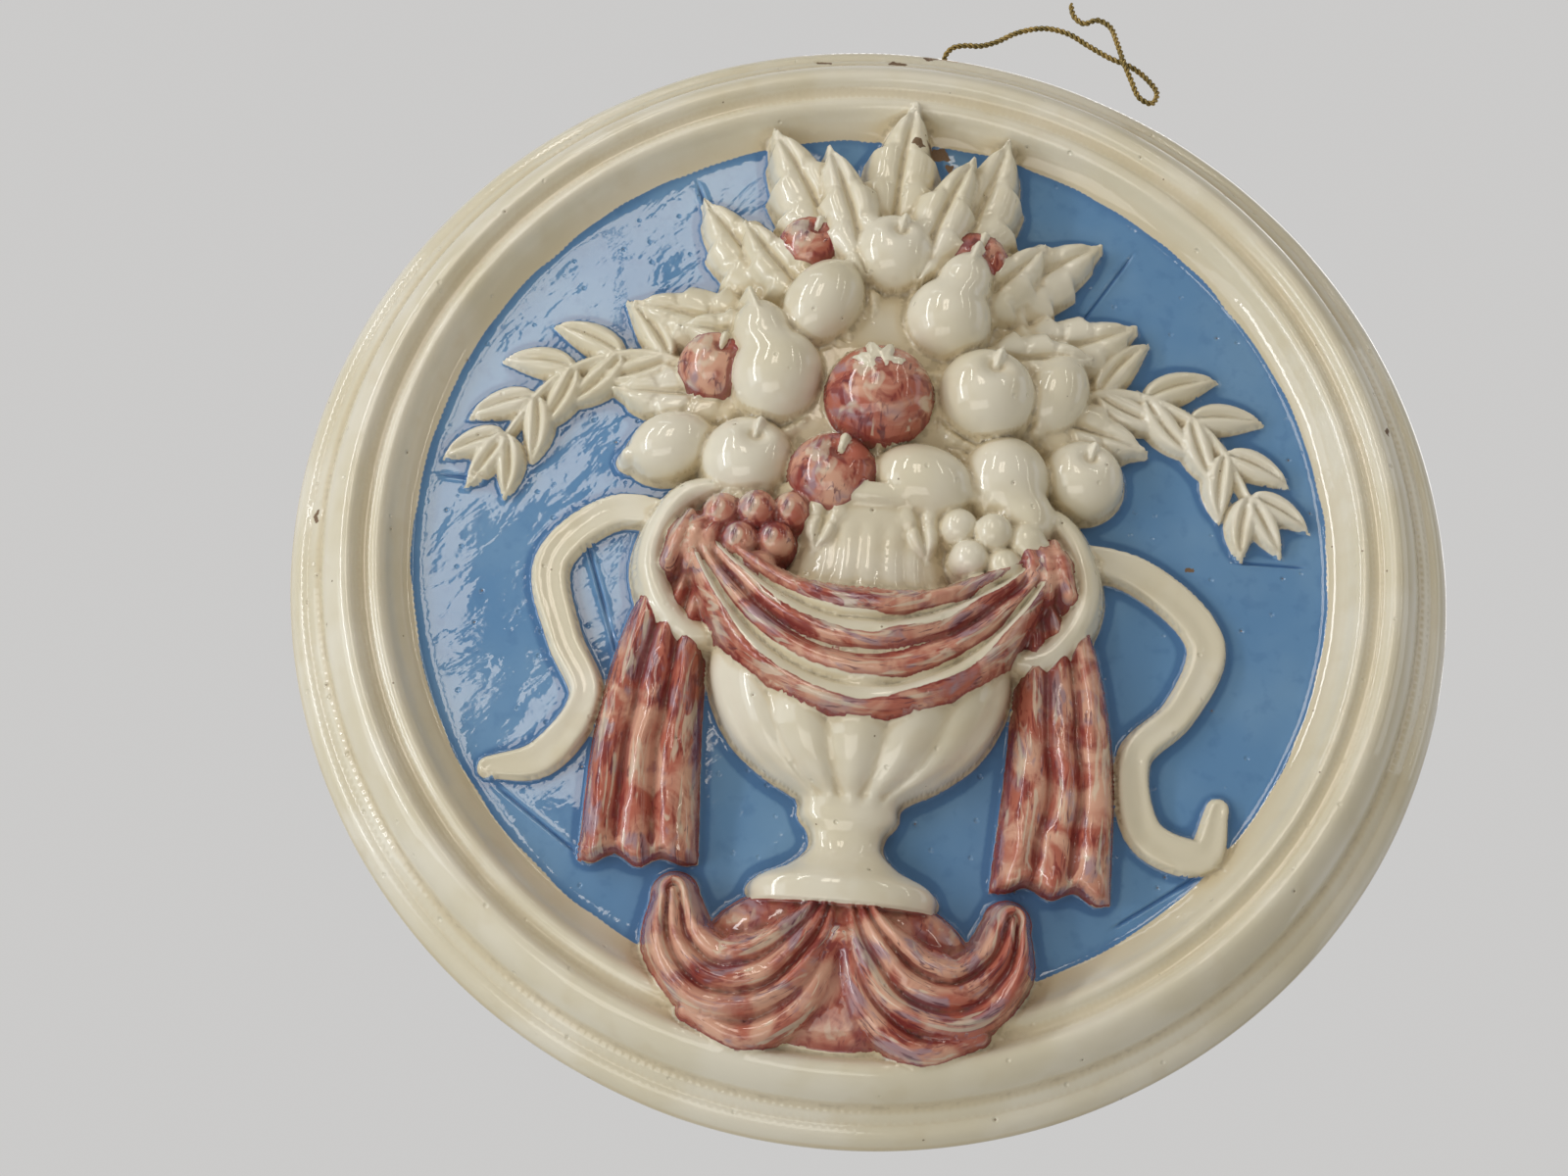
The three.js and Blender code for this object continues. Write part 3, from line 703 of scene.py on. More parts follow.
def carveLeaves(carving):
    for name, lobes in (("backLeaves", 5), ("frontLeaves", 4)):
        count, start, end, radius, squash, length, width, top, rise = heapSettings[name]
        for i in range(count):
            heading = start + (end - start) * i / (count - 1)
            steep = math.sin(math.radians(heading))
            reach = length + 13 * max(steep, 0) ** 4
            lift = top + (4 if steep > 0.85 else 0)
            drop = 1.5 if steep > 0.85 else 3
            x = radius * math.cos(math.radians(heading))
            y = heapSettings["centre"] + radius * squash * steep
            bend = 14 if i % 2 else -14
            carving.leaf(x, y, reach, width, heading, bend, lift, rise, drop, lobes, blend=0.7)
    for i in range(4):
        share = (i - 1.5) / 1.5
        carving.leaf(share * 30, 14, 24, 16, -90 + share * 38, share * 18, 20.5 - 5 * abs(share), 5, 3, 3)


def carveFruit(carving):
    x, y, halfX, halfY, top, rise = heapSettings["mound"]
    carving.boss(x, y, halfX, halfY, top, rise, blend=1.5)
    filling = heapSettings["fillingLeaves"]
    for i in range(filling):
        heading = i * heapSettings["goldenAngle"]
        out = 12 + 24 * math.sqrt(i / filling)
        leafX = x + out * math.cos(math.radians(heading)) * 0.8
        leafY = y + out * math.sin(math.radians(heading)) * 0.8
        bend = 20 if i % 2 else -20
        carving.leaf(leafX, leafY, 16, 10, heading, bend, 17.5 - out * 0.12, 3, 2, 3, vein=0.8)
    for x, y, radius, top, mauve in heapSettings["apples"]:
        carving.boss(x, y, radius, radius * 0.96, top, radius * 0.95, mauve=mauve, dimple=3.2)
        stem = [(x + 0.12 * radius, y + 0.34 * radius, 0.8, top - 2.4),
                (x + 0.2 * radius, y + 0.66 * radius, 1.1, top - 1)]
        carving.ridge(stem, 2.2, roundSection, 0.6)
    for x, y, radius, top, turn in heapSettings["lemons"]:
        carving.boss(x, y, radius * 1.15, radius * 0.86, top, radius * 0.9, turn)
        way = math.radians(turn)
        for end in sides:
            tipX = x + end * math.cos(way) * radius * 1.1
            tipY = y + end * math.sin(way) * radius * 1.1
            carving.boss(tipX, tipY, radius * 0.26, radius * 0.22, top - radius * 0.55, radius * 0.3, turn,
                         blend=2.4)
    for x, y, radius, top, turn in heapSettings["pears"]:
        angle = math.radians(turn)
        neckX, neckY = x - math.sin(angle) * radius * 0.85, y + math.cos(angle) * radius * 0.85
        carving.boss(x, y, radius * 0.95, radius, top, radius * 0.95)
        carving.boss(neckX, neckY, radius * 0.6, radius * 0.78, top - 2, radius * 0.6, turn, blend=3.5)
        stemX, stemY = x - math.sin(angle) * radius * 1.75, y + math.cos(angle) * radius * 1.75
        carving.ridge([(neckX, neckY, 1.2, top - 2), (stemX, stemY, 1.0, top - 3.5)], 2, roundSection, 0.8)
    x, y, radius, top = heapSettings["pomegranate"]
    carving.boss(x, y, radius, radius * 0.97, top, radius * 0.95, mauve=1)
    for i in range(7):
        heading = i * 360 / 7 + 10
        startX = x - 1 + math.cos(math.radians(heading)) * 1.2
        startY = y + 5 + math.sin(math.radians(heading)) * 1.2
        carving.leaf(startX, startY, 6.2, 3.6, heading, 12, top + 0.1, 1.8, 1.4, vein=0.4, blend=0.4)
    for x, y, radius, top, turn, rows, mauve in heapSettings["bunches"]:
        angle = math.radians(turn)
        for row in range(rows):
            for i in range(rows - row):
                off = (i - (rows - row - 1) / 2) * radius * 1.75
                down = row * radius * 1.55
                grapeX = x + math.cos(angle) * off + math.sin(angle) * down
                grapeY = y + math.sin(angle) * off - math.cos(angle) * down
                lift = top - 0.12 * abs(off) - row * 0.7 + (0.8 if (row + i) % 2 else 0)
                carving.boss(grapeX, grapeY, radius, radius, lift, radius, blend=0.5, mauve=mauve)


# Marks of making and of wear, in millimetres from the plaque's centre
wearSettings = {
    # lines scored in the ground before firing: from x, y to x, y
    "scored": ((-83.5, 3.7, -50, 3.1), (-83.3, 2.2, -63.8, -47.8), (-61.1, 112.1, -45.4, 72.7),
               (72.5, 99.6, 50.9, 64), (100.2, 3.4, 125.2, 3.6), (-127, 9.4, -112, 9), (-97, -78, -70, -96),
               (70, -104, 98, -84)),
    "scoreWidth": 0.42,
    "scoreDepth": 0.8,
    "lipHeight": 0.22,
    # places where the glaze has come away: x, y, half width, half height, depth
    "losses": ((11, 126, 3.6, 2.2, 0.5), (4.9, 122.5, 1.6, 1.4, 0.4), (15.4, 121.5, 1.2, 2.0, 0.4),
               (-26.1, 155.7, 2.6, 0.9, 0.4), (-3.4, 157.1, 3.0, 0.9, 0.4), (-157, -6.4, 0.9, 2.2, 0.4),
               (144.2, 43.8, 0.9, 1.6, 0.3), (89.8, 0.3, 1.4, 0.9, 0.3), (-30.5, 161.2, 1.8, 0.7, 0.4),
               (6.8, 161.4, 2.4, 0.8, 0.4)),
}


def scoredLines():
    # each scored line's start, direction and length
    for startX, startY, endX, endY in wearSettings["scored"]:
        length = math.hypot(endX - startX, endY - startY)
        yield startX, startY, (endX - startX) / length, (endY - startY) / length, length


def besideLine(x, y, startX, startY, wayX, wayY, length):
    # the nearest place on a straight line, as a length along it, and how far away it is
    run = np.clip((x - startX) * wayX + (y - startY) * wayY, 0, length)
    return run, np.hypot(x - startX - wayX * run, y - startY - wayY * run)


def carveWear(carving):
    x, y = carving.x * unit, carving.y * unit
    for line in scoredLines():
        run, distance = besideLine(x, y, *line)
        ends = softStep(run, 0, 6) * softStep(line[-1] - run, 0, 6)
        shallow = ends * (0.6 + 0.4 * softNoise(run, run * 0, 9, 5))
        mark = np.exp(-((distance / wearSettings["scoreWidth"]) ** 2)) * (1 - carving.raised) * shallow
        lip = np.exp(-(((distance - 0.95) / 0.4) ** 2)) * (1 - carving.raised) * shallow
        carving.high -= (wearSettings["scoreDepth"] * mark - wearSettings["lipHeight"] * lip) / unit
        carving.line = np.maximum(carving.line, mark)
    for lossX, lossY, halfX, halfY, depth in wearSettings["losses"]:
        out = np.hypot((x - lossX) / halfX, (y - lossY) / halfY)
        out = out + 0.28 * softNoise(x, y, 1.3, 7) + 0.12 * softNoise(x, y, 0.6, 8)
        gone = softStep(-out, -1.1, -0.9)
        carving.high -= depth * gone / unit
        carving.bare = np.maximum(carving.bare, gone)


def roughen(carving):
    # nothing made by hand is quite true
    x, y = carving.x, carving.y
    slow = softNoise(x, y, 23, 51) * 0.6 + softNoise(x, y, 9, 52) * 0.4
    onFrame = softStep(carving.reach, 126, 134) * (1 - carving.raised)
    carving.high -= reliefSettings["roughening"] * (0.5 + 0.5 * slow) * np.maximum(carving.raised, onFrame)
    carving.high += 0.12 * slow * (1 - np.maximum(carving.raised, onFrame))


def carveAt(x, y):
    carving = Carving(x / unit, y / unit)
    for carve in (carveFootCloth, carveTails, carveRibbons, carveUrn, carveHandles, carveBranches,
                  carveLeaves, carveFruit, carveSwag, roughen, carveWear):
        carve(carving)
    return carving


def outlineRadius(angle):
    # the rim, with its chip at the top and a slightly uneven edge
    off = (angle - holeWay + math.pi) % (2 * math.pi) - math.pi
    off = off * plaqueRadius
    x, y = plaqueRadius * np.cos(angle), plaqueRadius * np.sin(angle)
    uneven = plaqueSizes["handWobble"] * (0.5 + 0.5 * softNoise(x, y, 34, 61))
    jag = 0.35 * softNoise(off, off * 0, 1.5, 62)
    bite = plaqueSizes["chipDepth"] * softStep(plaqueSizes["chipLength"] / 2 - np.abs(off), -0.4, 0.5)
    return plaqueRadius - np.maximum(uneven, bite + jag * (bite > 0.1)), bite


# How finely the casting is meshed, in millimetres
meshSettings = {
    "mapStep": 0.8,
    "finest": 0.76,
    "creaseStep": 0.6,
    "fineShare": 54000,
    "middleShare": 100000,
    "aroundCount": 440,
    "ringsPerMoulding": (8, 6, 12, 6, 6, 6),
    "groundRings": (0, 0.6, 1.2, 1.8, 2.5, 3.3),  # inward from the ground's edge
    "groundGap": 3.8,
    "scoreStep": 0.9,
    "scoreRows": (0.25, 0.5, 0.85, 1.25, 1.9),  # to each side of a scored line
    "scoreGap": 2.1,
    "backRings": (4, 12, 22, 32, 44, 56, 68, 80, 92, 102, 112, 121, 129, 134, 137.5, 139, 139.5, 140, 143,
                  149, 155, 158, 160, 162.2, 163.6),
    "grooveRows": (-2.6, -1.8, -1.35, 0, 1.35, 1.8, 2.6),
    "grooveStep": 1.4,
}


def blurred(values, reach):
    # a box blur run twice, with the sums taken along each side in turn
    for repeat in range(2):
        for axis in (0, 1):
            margins = [(reach + 1, reach) if a == axis else (0, 0) for a in (0, 1)]
            padded = np.pad(values, margins, mode="edge")
            sums = np.cumsum(padded, axis=axis)
            size = values.shape[axis]
            upper = np.take(sums, np.arange(size) + 2 * reach + 1, axis=axis)
            lower = np.take(sums, np.arange(size), axis=axis)
            values = (upper - lower) / (2 * reach + 1)
    return values


class HeightMap:
    # a coarse map of the whole front, from which the mesh takes its fineness and its hollows
    def __init__(self):
        self.step = meshSettings["mapStep"]
        self.count = int(2 * plaqueRadius / self.step) + 3
        line = (np.arange(self.count) - (self.count - 1) / 2) * self.step
        self.start = line[0]
        x, y = np.meshgrid(line, line)
        carving = carveAt(x.ravel(), y.ravel())
        high = carving.high.reshape(x.shape)
        plain = (np.interp(np.hypot(x, y), profileRadii, profileHeights) - groundHeight) / unit
        fine = np.abs(high - blurred(high, 1))
        fine = np.maximum(fine, 0.25 * np.abs(np.gradient(carving.mauve.reshape(x.shape))[0]))
        self.detail = blurred(fine, 1)
        self.hollow = blurred(high, 3) - high
        self.wideHollow = blurred(high, 9) - high
        self.covered = blurred((np.abs(high - plain) > 0.42).astype(float), 1)

    def at(self, values, x, y):
        column = np.clip((x - self.start) / self.step, 0, self.count - 1.001)
        row = np.clip((y - self.start) / self.step, 0, self.count - 1.001)
        i, j = column.astype(int), row.astype(int)
        u, v = column - i, row - j
        low = values[j, i] * (1 - u) + values[j, i + 1] * u
        high = values[j + 1, i] * (1 - u) + values[j + 1, i + 1] * u
        return low * (1 - v) + high * v


def aroundAngles():
    # even steps round the rim, and finer ones at the chip
    step = 2 * math.pi / meshSettings["aroundCount"]
    fineReach = math.radians(2.6)
    coarse = np.arange(meshSettings["aroundCount"]) * step
    off = np.abs((coarse - holeWay + math.pi) % (2 * math.pi) - math.pi)
    fine = np.arange(holeWay - fineReach, holeWay + fineReach, math.radians(0.16))
    return np.sort(np.concatenate([coarse[off > fineReach + step * 0.6], fine])), coarse


def scoredPoints():
    # rows of points along each scored line
    rows = []
    beside = meshSettings["scoreRows"]
    for startX, startY, wayX, wayY, length in scoredLines():
        run = np.arange(0, length, meshSettings["scoreStep"])
        for offset in (*(-off for off in reversed(beside)), 0, *beside):
            x = startX + wayX * run - wayY * offset
            rows.append(np.stack([x, startY + wayY * run + wayX * offset], axis=-1))
    return np.vstack(rows)


def clearOfLines(points, gap):
    keep = np.ones(len(points), bool)
    for line in scoredLines():
        keep &= besideLine(points[:, 0], points[:, 1], *line)[1] > gap
    return keep


def latticePoints(heightMap):
    # a lattice of triangles, thinned to every second and every fourth point where the form is plain
    step = meshSettings["finest"]
    rowStep = step * math.sqrt(3) / 2
    half = int(plaqueRadius / step) + 2
    halfRows = int(plaqueRadius / rowStep) + 2
    columns, rows = np.meshgrid(np.arange(-half, half + 1), np.arange(-halfRows, halfRows + 1))
    columns, rows = columns.ravel(), rows.ravel()
    x = (columns + (rows % 2) * 0.5) * step
    y = rows * rowStep
    level = np.zeros(len(x), int)
    second = (rows % 2 == 0) & ((columns - (rows // 2) % 2) % 2 == 0)
    fourth = (rows % 4 == 0) & ((columns - ((rows // 4) % 2) * 2) % 4 == 0)
    level[second] = 1
    level[fourth] = 2
    reach = np.hypot(x, y)
    covered = heightMap.at(heightMap.covered, x, y) > 0.05
    inside = (reach < groundRadius - meshSettings["groundGap"]) | (covered & (reach < plaqueRadius - 1))
    x, y, level = x[inside], y[inside], level[inside]
    detail = heightMap.at(heightMap.detail, x, y)
    ranked = np.sort(detail)[::-1]
    fineLimit = ranked[min(meshSettings["fineShare"], len(ranked) - 1)]
    middleLimit = ranked[min(meshSettings["middleShare"], len(ranked) - 1)]
    keep = (detail > fineLimit) | ((detail > middleLimit) & (level >= 1)) | (level == 2)
    points = np.stack([x[keep], y[keep]], axis=-1)
    return points[clearOfLines(points, meshSettings["scoreGap"])]


def creasePoints(points):
    # where two forms meet, points are drawn onto the crease itself; the ones too close to it are dropped
    step = meshSettings["finest"]
    nudge = 0.05

    def gap(x, y):
        carving = carveAt(x, y)
        return (carving.top - carving.second) * unit

    here = gap(points[:, 0], points[:, 1])
    near = np.nonzero(here < 4 * reliefSettings["wallSlope"] * step)[0]
    x, y = points[near, 0], points[near, 1]
    slopeX = (gap(x + nudge, y) - here[near]) / nudge
    slopeY = (gap(x, y + nudge) - here[near]) / nudge
    steep = np.maximum(slopeX**2 + slopeY**2, 1e-6)
    away = here[near] / np.sqrt(steep)
    close = (away < 0.8 * step) & (steep > 0.25)
    targetX = x - here[near] * slopeX / steep
    targetY = y - here[near] * slopeY / steep
    sure = close.copy()
    sure[close] = gap(targetX[close], targetY[close]) < 0.12
    targets = np.stack([targetX[sure], targetY[sure]], axis=-1)
    cells = np.round(targets / meshSettings["creaseStep"]).astype(int)
    kept, first = np.unique(cells, axis=0, return_index=True)
    onCrease = targets[np.sort(first)]
    dropped = np.zeros(len(points), bool)
    dropped[near[sure & (away < 0.5 * step)]] = True
    return np.vstack([points[~dropped], onCrease])


def ringPoints(heightMap, evenAngles):
    # rings of points on the turned frame where nothing lies over it
    radii = []
    outer = plaqueRadius
    for (width, height, bulge), count in zip(mouldings, meshSettings["ringsPerMoulding"]):
        for i in range(count):
            share = 0.5 - 0.5 * math.cos(math.pi * i / count)
            radii.append(outer - width * share)
        outer -= width
    radii += [groundRadius - inward for inward in meshSettings["groundRings"]]
    radii = [radius for radius in radii if radius < plaqueRadius - 0.8]
    rings = []
    for i, radius in enumerate(radii):
        angles = evenAngles + (i % 2) * math.pi / meshSettings["aroundCount"]
        x, y = radius * np.cos(angles), radius * np.sin(angles)
        edge, bite = outlineRadius(angles)
        free = (heightMap.at(heightMap.covered, x, y) <= 0.05) & (radius < edge - 0.8)
        rings.append(np.stack([x[free], y[free]], axis=-1))
    return np.vstack(rings)


def backHeight(x, y):
    # the plain back: a recess inside a flat foot ring, and a groove for the wire
    radius = np.hypot(x, y)
    inner, outer, bevel = (plaqueSizes[name] for name in ("footInner", "footOuter", "footBevel"))
    radii = [0, inner - bevel, inner, outer, plaqueRadius - bevel, plaqueRadius]
    heights = [plaqueSizes["recess"], plaqueSizes["recess"], 0, 0, plaqueSizes["rimHeight"] / 2, 1.1]
    level = np.interp(radius, radii, heights)
    across = np.abs(holeX * y - holeY * x)
    along = holeX * x + holeY * y
    deep = softStep(plaqueSizes["grooveWidth"] / 2 - across, -0.15, 0.25) * (along > inner - 4)
    level = level + (plaqueSizes["grooveDepth"] - level) * deep * (level < plaqueSizes["grooveDepth"])
    pocked = 0.12 * np.abs(softNoise(x, y, 2.6, 71)) + 0.1 * (1 + softNoise(x, y, 13, 72))
    return level + np.where(radius < inner - bevel, pocked, 0.0)


def backPoints():
    rings = []
    for radius in meshSettings["backRings"]:
        count = int(max(12, min(220, radius * 1.8)))
        angles = np.arange(count) * 2 * math.pi / count
        edge, bite = outlineRadius(angles)
        x, y = radius * np.cos(angles), radius * np.sin(angles)
        clear = (np.abs(holeX * y - holeY * x) > 3) | (holeX * x + holeY * y < 132)
        clear &= radius < edge - 0.8
        rings.append(np.stack([x[clear], y[clear]], axis=-1))
    for off in meshSettings["grooveRows"]:
        run = np.arange(133, plaqueRadius - plaqueSizes["chipDepth"] - 1.2, meshSettings["grooveStep"])
        rings.append(np.stack([holeX * run - holeY * off, holeY * run + holeX * off], axis=-1))
    return np.vstack(rings)


def triangulate(points, loop):
    # triangles over the points inside the closed outline, which is the last of the points
    count = len(points)
    edges = [(count - loop + i, count - loop + (i + 1) % loop) for i in range(loop)]
    placed, _, faces, _, _, _ = delaunay_2d_cdt([Vector(p) for p in points], edges, [], 1, 1e-6, False)
    if len(placed) != count:
        raise RuntimeError("points of the casting fell together")
    return np.array(faces)


def addAttribute(mesh, name, values):
    kind = "FLOAT_VECTOR" if values.ndim == 2 else "FLOAT"
    field = "vector" if values.ndim == 2 else "value"
    mesh.attributes.new(name, kind, "POINT").data.foreach_set(field, values.astype(np.float32).ravel())


def castingMesh():
    heightMap = HeightMap()
    print("height map drawn")
    rimAngles, evenAngles = aroundAngles()
    edge, bite = outlineRadius(rimAngles)
    loop = len(rimAngles)
    ways = np.stack([np.cos(rimAngles), np.sin(rimAngles)], axis=-1)
    loopPoints = ways * (edge - plaqueSizes["rimRound"])[:, None]
    lattice = creasePoints(latticePoints(heightMap))
    inner = np.vstack([lattice, ringPoints(heightMap, evenAngles), scoredPoints()])
    front = np.vstack([inner, loopPoints])
    frontFaces = triangulate(front, loop)
    back = np.vstack([backPoints(), loopPoints])
    backFaces = triangulate(back, loop)
    print("front", len(front), "points, back", len(back), "points")

    carving = carveAt(front[:, 0], front[:, 1])
    frontHeight = groundHeight + carving.high * unit
    backHigh = backHeight(back[:, 0], back[:, 1])
    # between the two, the rounded edge of the rim, broken at the chip
    middleWay = ways * edge[:, None]
    lowEdge, highEdge = backHigh[-loop:], frontHeight[-loop:]
    broken = softStep(bite, 0.2, 1.0)
    wall = []
    for share in (0.3, 0.7):
        rough = 0.35 * softNoise(rimAngles * plaqueRadius, rimAngles * 0 + share * 9, 1.1, 81) * broken
        place = middleWay - ways * (rough * broken)[:, None]
        wall.append((place, lowEdge + (highEdge - lowEdge) * share))

    groups = [toFrame(front[:, 0], front[:, 1], frontHeight), toFrame(back[:, 0], back[:, 1], backHigh)]
    groups += [toFrame(place[:, 0], place[:, 1], high) for place, high in wall]
    vertices = np.vstack(groups)
    starts = np.cumsum([0] + [len(group) for group in groups])
    backShift = starts[1]
    around = np.arange(loop)
    following = (around + 1) % loop
    rows = [starts[2] - loop, starts[2], starts[3], starts[1] - loop]  # back loop, wall rows, front loop
    faces = frontFaces.tolist() + (backFaces[:, ::-1] + backShift).tolist()
    for low, high in zip(rows, rows[1:]):
        faces += np.stack([low + around, low + following, high + following, high + around], axis=-1).tolist()
    mesh = bpy.data.meshes.new("glazedPlaque")
    mesh.from_pydata(vertices.tolist(), [], faces)
    mesh.polygons.foreach_set("use_smooth", [True] * len(mesh.polygons))

    rest = len(vertices) - len(front)
    # how deep each point lies in a small and in a wide hollow; the glaze shader darkens these as pooled glaze
    # and painted shade, and lightens the crests as a painted highlight
    hollow = np.clip(heightMap.at(heightMap.hollow, front[:, 0], front[:, 1]) / 1.6, -1, 1)
    wide = np.clip(heightMap.at(heightMap.wideHollow, front[:, 0], front[:, 1]) / 5, -1, 1)
    clay = np.concatenate([np.zeros(len(front)), np.ones(len(back)), broken, broken])
    clay[len(front) + len(back) - loop:len(front) + len(back)] = 0.5 + 0.5 * broken
    clay[len(front) - loop:len(front)] = broken * 0.7
    frontValues = {"blue": carving.blue, "mauve": carving.mauve, "bare": carving.bare, "scored": carving.line,
                   "hollow": hollow, "wideHollow": wide}
    for name, values in frontValues.items():
        addAttribute(mesh, name, np.concatenate([values, np.zeros(rest)]))
    addAttribute(mesh, "clay", clay)
    flow = np.stack([carving.along, carving.across, np.zeros(len(front))], axis=-1)
    addAttribute(mesh, "flow", np.vstack([flow, np.zeros((rest, 3))]))
    return mesh


glazeSettings = {
    "cream": (220, 212, 188),
    "creamPale": (228, 222, 204),
    "creamWarm": (204, 187, 150),
    "blue": (101, 143, 185),
    "blueDeep": (72, 112, 160),
    "bluePale": (118, 156, 192),
    "rose": (180, 104, 86),
    "peach": (214, 166, 142),
    "lilacGrey": (160, 136, 146),
    "maroon": (128, 52, 50),
    "darkPlum": (88, 48, 62),
    # a dirt brown, used for specks and broken body, and laid into the hollows as dirt and painted shade
    "dirtAndShade": (112, 90, 62),
    "bareBody": (128, 102, 82),
    "clay": (198, 170, 138),
    "clayDark": (178, 146, 112),
    "clayGrime": (128, 108, 86),
}
colours = {name: paint(*value) for name, value in glazeSettings.items()}

# How the glaze lies on the clay, with the widths of its patches in millimetres
surfaceSettings = {
    "bumpDepth": 0.0006,  # metres
    "washDepth": 0.0007,
    "clayDepth": 0.00025,
    "swell": 44,
    "calmSwell": 0.8,
    "blueSwell": 4.2,
    "calmRipple": 14,
    "calmRippleDepth": 0.25,
    "ripple": 7,
    "rippleDepth": 0.4,
    "wipedAngle": -48,  # degrees, the way the blue ground was wiped
    "wipedLength": 2.6,
    "peel": 2.2,
    "peelDepth": 0.045,
    "speckSpacing": 6.6,
    "pitDepth": 0.42,
    "smoothest": 0.03,
    "roughest": 0.07,
    "clayRoughness": 0.75,
    "refraction": 1.52,
}


def attribute(tree, name, output="Fac"):
    return addNode(tree, "ShaderNodeAttribute", attribute_name=name).outputs[output]


def creamColour(tree, place, hollow, wide):
    pooled = noise(tree, place, 38, detail=3)
    cloud = noise(tree, place, 11, detail=2)
    colour = mix(tree, between(tree, pooled, 0.4, 0.62), colours["cream"], colours["creamPale"])
    # painted shade: warm cream laid into the small and the wide hollows, standing for glaze pooled there and
    # for the shade that falls in them
    colour = mix(tree, between(tree, hollow, 0.05, 0.5, 0, 0.45), colour, colours["creamWarm"])
    colour = mix(tree, between(tree, wide, 0.1, 0.8, 0, 0.5), colour, colours["creamWarm"])
    return mix(tree, between(tree, cloud, 0.55, 0.75, 0, 0.2), colour, colours["creamWarm"])


def blueColour(tree, place, hollow, scored):
    cloud = noise(tree, place, 30, detail=3)
    mottle = noise(tree, place, 5, detail=3)
    colour = mix(tree, between(tree, cloud, 0.35, 0.68, 0, 0.75), colours["blue"], colours["bluePale"])
    colour = mix(tree, between(tree, mottle, 0.52, 0.72, 0, 0.25), colour, colours["blueDeep"])
    # deep blue in the hollows beside the relief: glaze pooled there, and painted shade
    colour = mix(tree, between(tree, hollow, 0.12, 0.42, 0, 0.75), colour, colours["blueDeep"])
    return mix(tree, between(tree, scored, 0.2, 0.7, 0, 0.85), colour, colours["blueDeep"])


def mauveColour(tree, place, flow, hollow, edge):
    # a thin wash, brushed along the folds, darker in the hollows as pooled wash and painted shade, lighter on
    # the crests as thin wash and a painted highlight, and darker where it pooled at its edges

    def streak(along, across, shift):
        scaled = vectorCalc(tree, "MULTIPLY", {0: flow, 1: (1 / along, 1 / across, 1)})
        moved = vectorCalc(tree, "ADD", {0: scaled, 1: (shift, shift, shift)})
        return noise(tree, moved, 1000, roughness=0.65, distortion=0.8)

    def laid(colour, share, strength, name):
        return mix(tree, calc(tree, "MULTIPLY", share, strength), colour, colours[name])

    wash = noise(tree, place, 17, detail=4, distortion=1.2)
    worked = noise(tree, place, 13, detail=3, distortion=0.8)
    colour = mix(tree, between(tree, wash, 0.42, 0.62), colours["rose"], colours["peach"])
    greyed = between(tree, streak(16, 5, 3), 0.47, 0.6)
    greyed = calc(tree, "MULTIPLY", greyed, between(tree, worked, 0.42, 0.56))
    colour = laid(colour, greyed, 0.8, "lilacGrey")
    brushed = between(tree, streak(10, 2.2, 17), 0.5, 0.62)
    brushed = calc(tree, "MULTIPLY", brushed, between(tree, wash, 0.6, 0.42))
    colour = laid(colour, brushed, 0.8, "maroon")
    fine = between(tree, streak(8, 0.9, 41), 0.56, 0.66)
    colour = laid(colour, calc(tree, "MULTIPLY", fine, between(tree, worked, 0.4, 0.55)), 0.7, "darkPlum")
    # maroon in the hollows: wash pooled there, and painted shade
    pooled = between(tree, worked, 0.35, 0.58, 0.35, 1.0)
    pooled = calc(tree, "MULTIPLY", between(tree, hollow, 0.04, 0.35), pooled)
    colour = laid(colour, pooled, 0.75, "maroon")
    colour = mix(tree, between(tree, edge, 0.95, 0.6, 0, 0.5), colour, colours["maroon"])
    # cream on the crests, where the hollow value falls below zero: the wash runs thin there, and a painted
    # highlight
    thin = between(tree, streak(15, 2.6, 63), 0.53, 0.64)
    thin = calc(tree, "MULTIPLY", thin, between(tree, hollow, 0.05, -0.15))
    return laid(colour, thin, 0.55, "cream")


def clayColour(tree, place):
    # the unglazed back: slow changes of tone, grit, stains, and grime where the foot ring meets the wall
    tone = between(tree, noise(tree, place, 46), 0.34, 0.7, 0, 0.7)
    colour = mix(tree, tone, colours["clay"], colours["clayDark"])
    fine = between(tree, noise(tree, place, 1.4, detail=3), 0.5, 0.72, 0, 0.35)
    colour = mix(tree, fine, colour, colours["clayDark"])
    stain = between(tree, noise(tree, place, 70, detail=3), 0.56, 0.7, 0, 0.2)
    colour = mix(tree, stain, colour, colours["clayGrime"])
    depth = addNode(tree, "ShaderNodeSeparateXYZ", {0: place}).outputs["Y"]
    touching = between(tree, depth, -0.0007, -0.0002)
    rubbed = between(tree, noise(tree, place, 12, detail=3), 0.4, 0.62, 0.15, 0.5)
    colour = mix(tree, calc(tree, "MULTIPLY", touching, rubbed), colour, colours["clayGrime"])
    grains = addNode(tree, "ShaderNodeTexVoronoi", {"Vector": place, "Scale": 1000 / 3.4})
    grain = between(tree, grains.outputs["Distance"], 0.12, 0.05, 0, 0.35)
    return mix(tree, grain, colour, colours["clayGrime"])


def finish(tree, colour, roughness, height, depth):
    bump = addNode(tree, "ShaderNodeBump", {"Height": height, "Strength": 1.0,
                                            "Distance": surfaceSettings[depth]})
    inputs = {"Base Color": colour, "Roughness": roughness, "IOR": surfaceSettings["refraction"],
              "Normal": bump.outputs[0]}
    return addNode(tree, "ShaderNodeBsdfPrincipled", inputs).outputs[0]


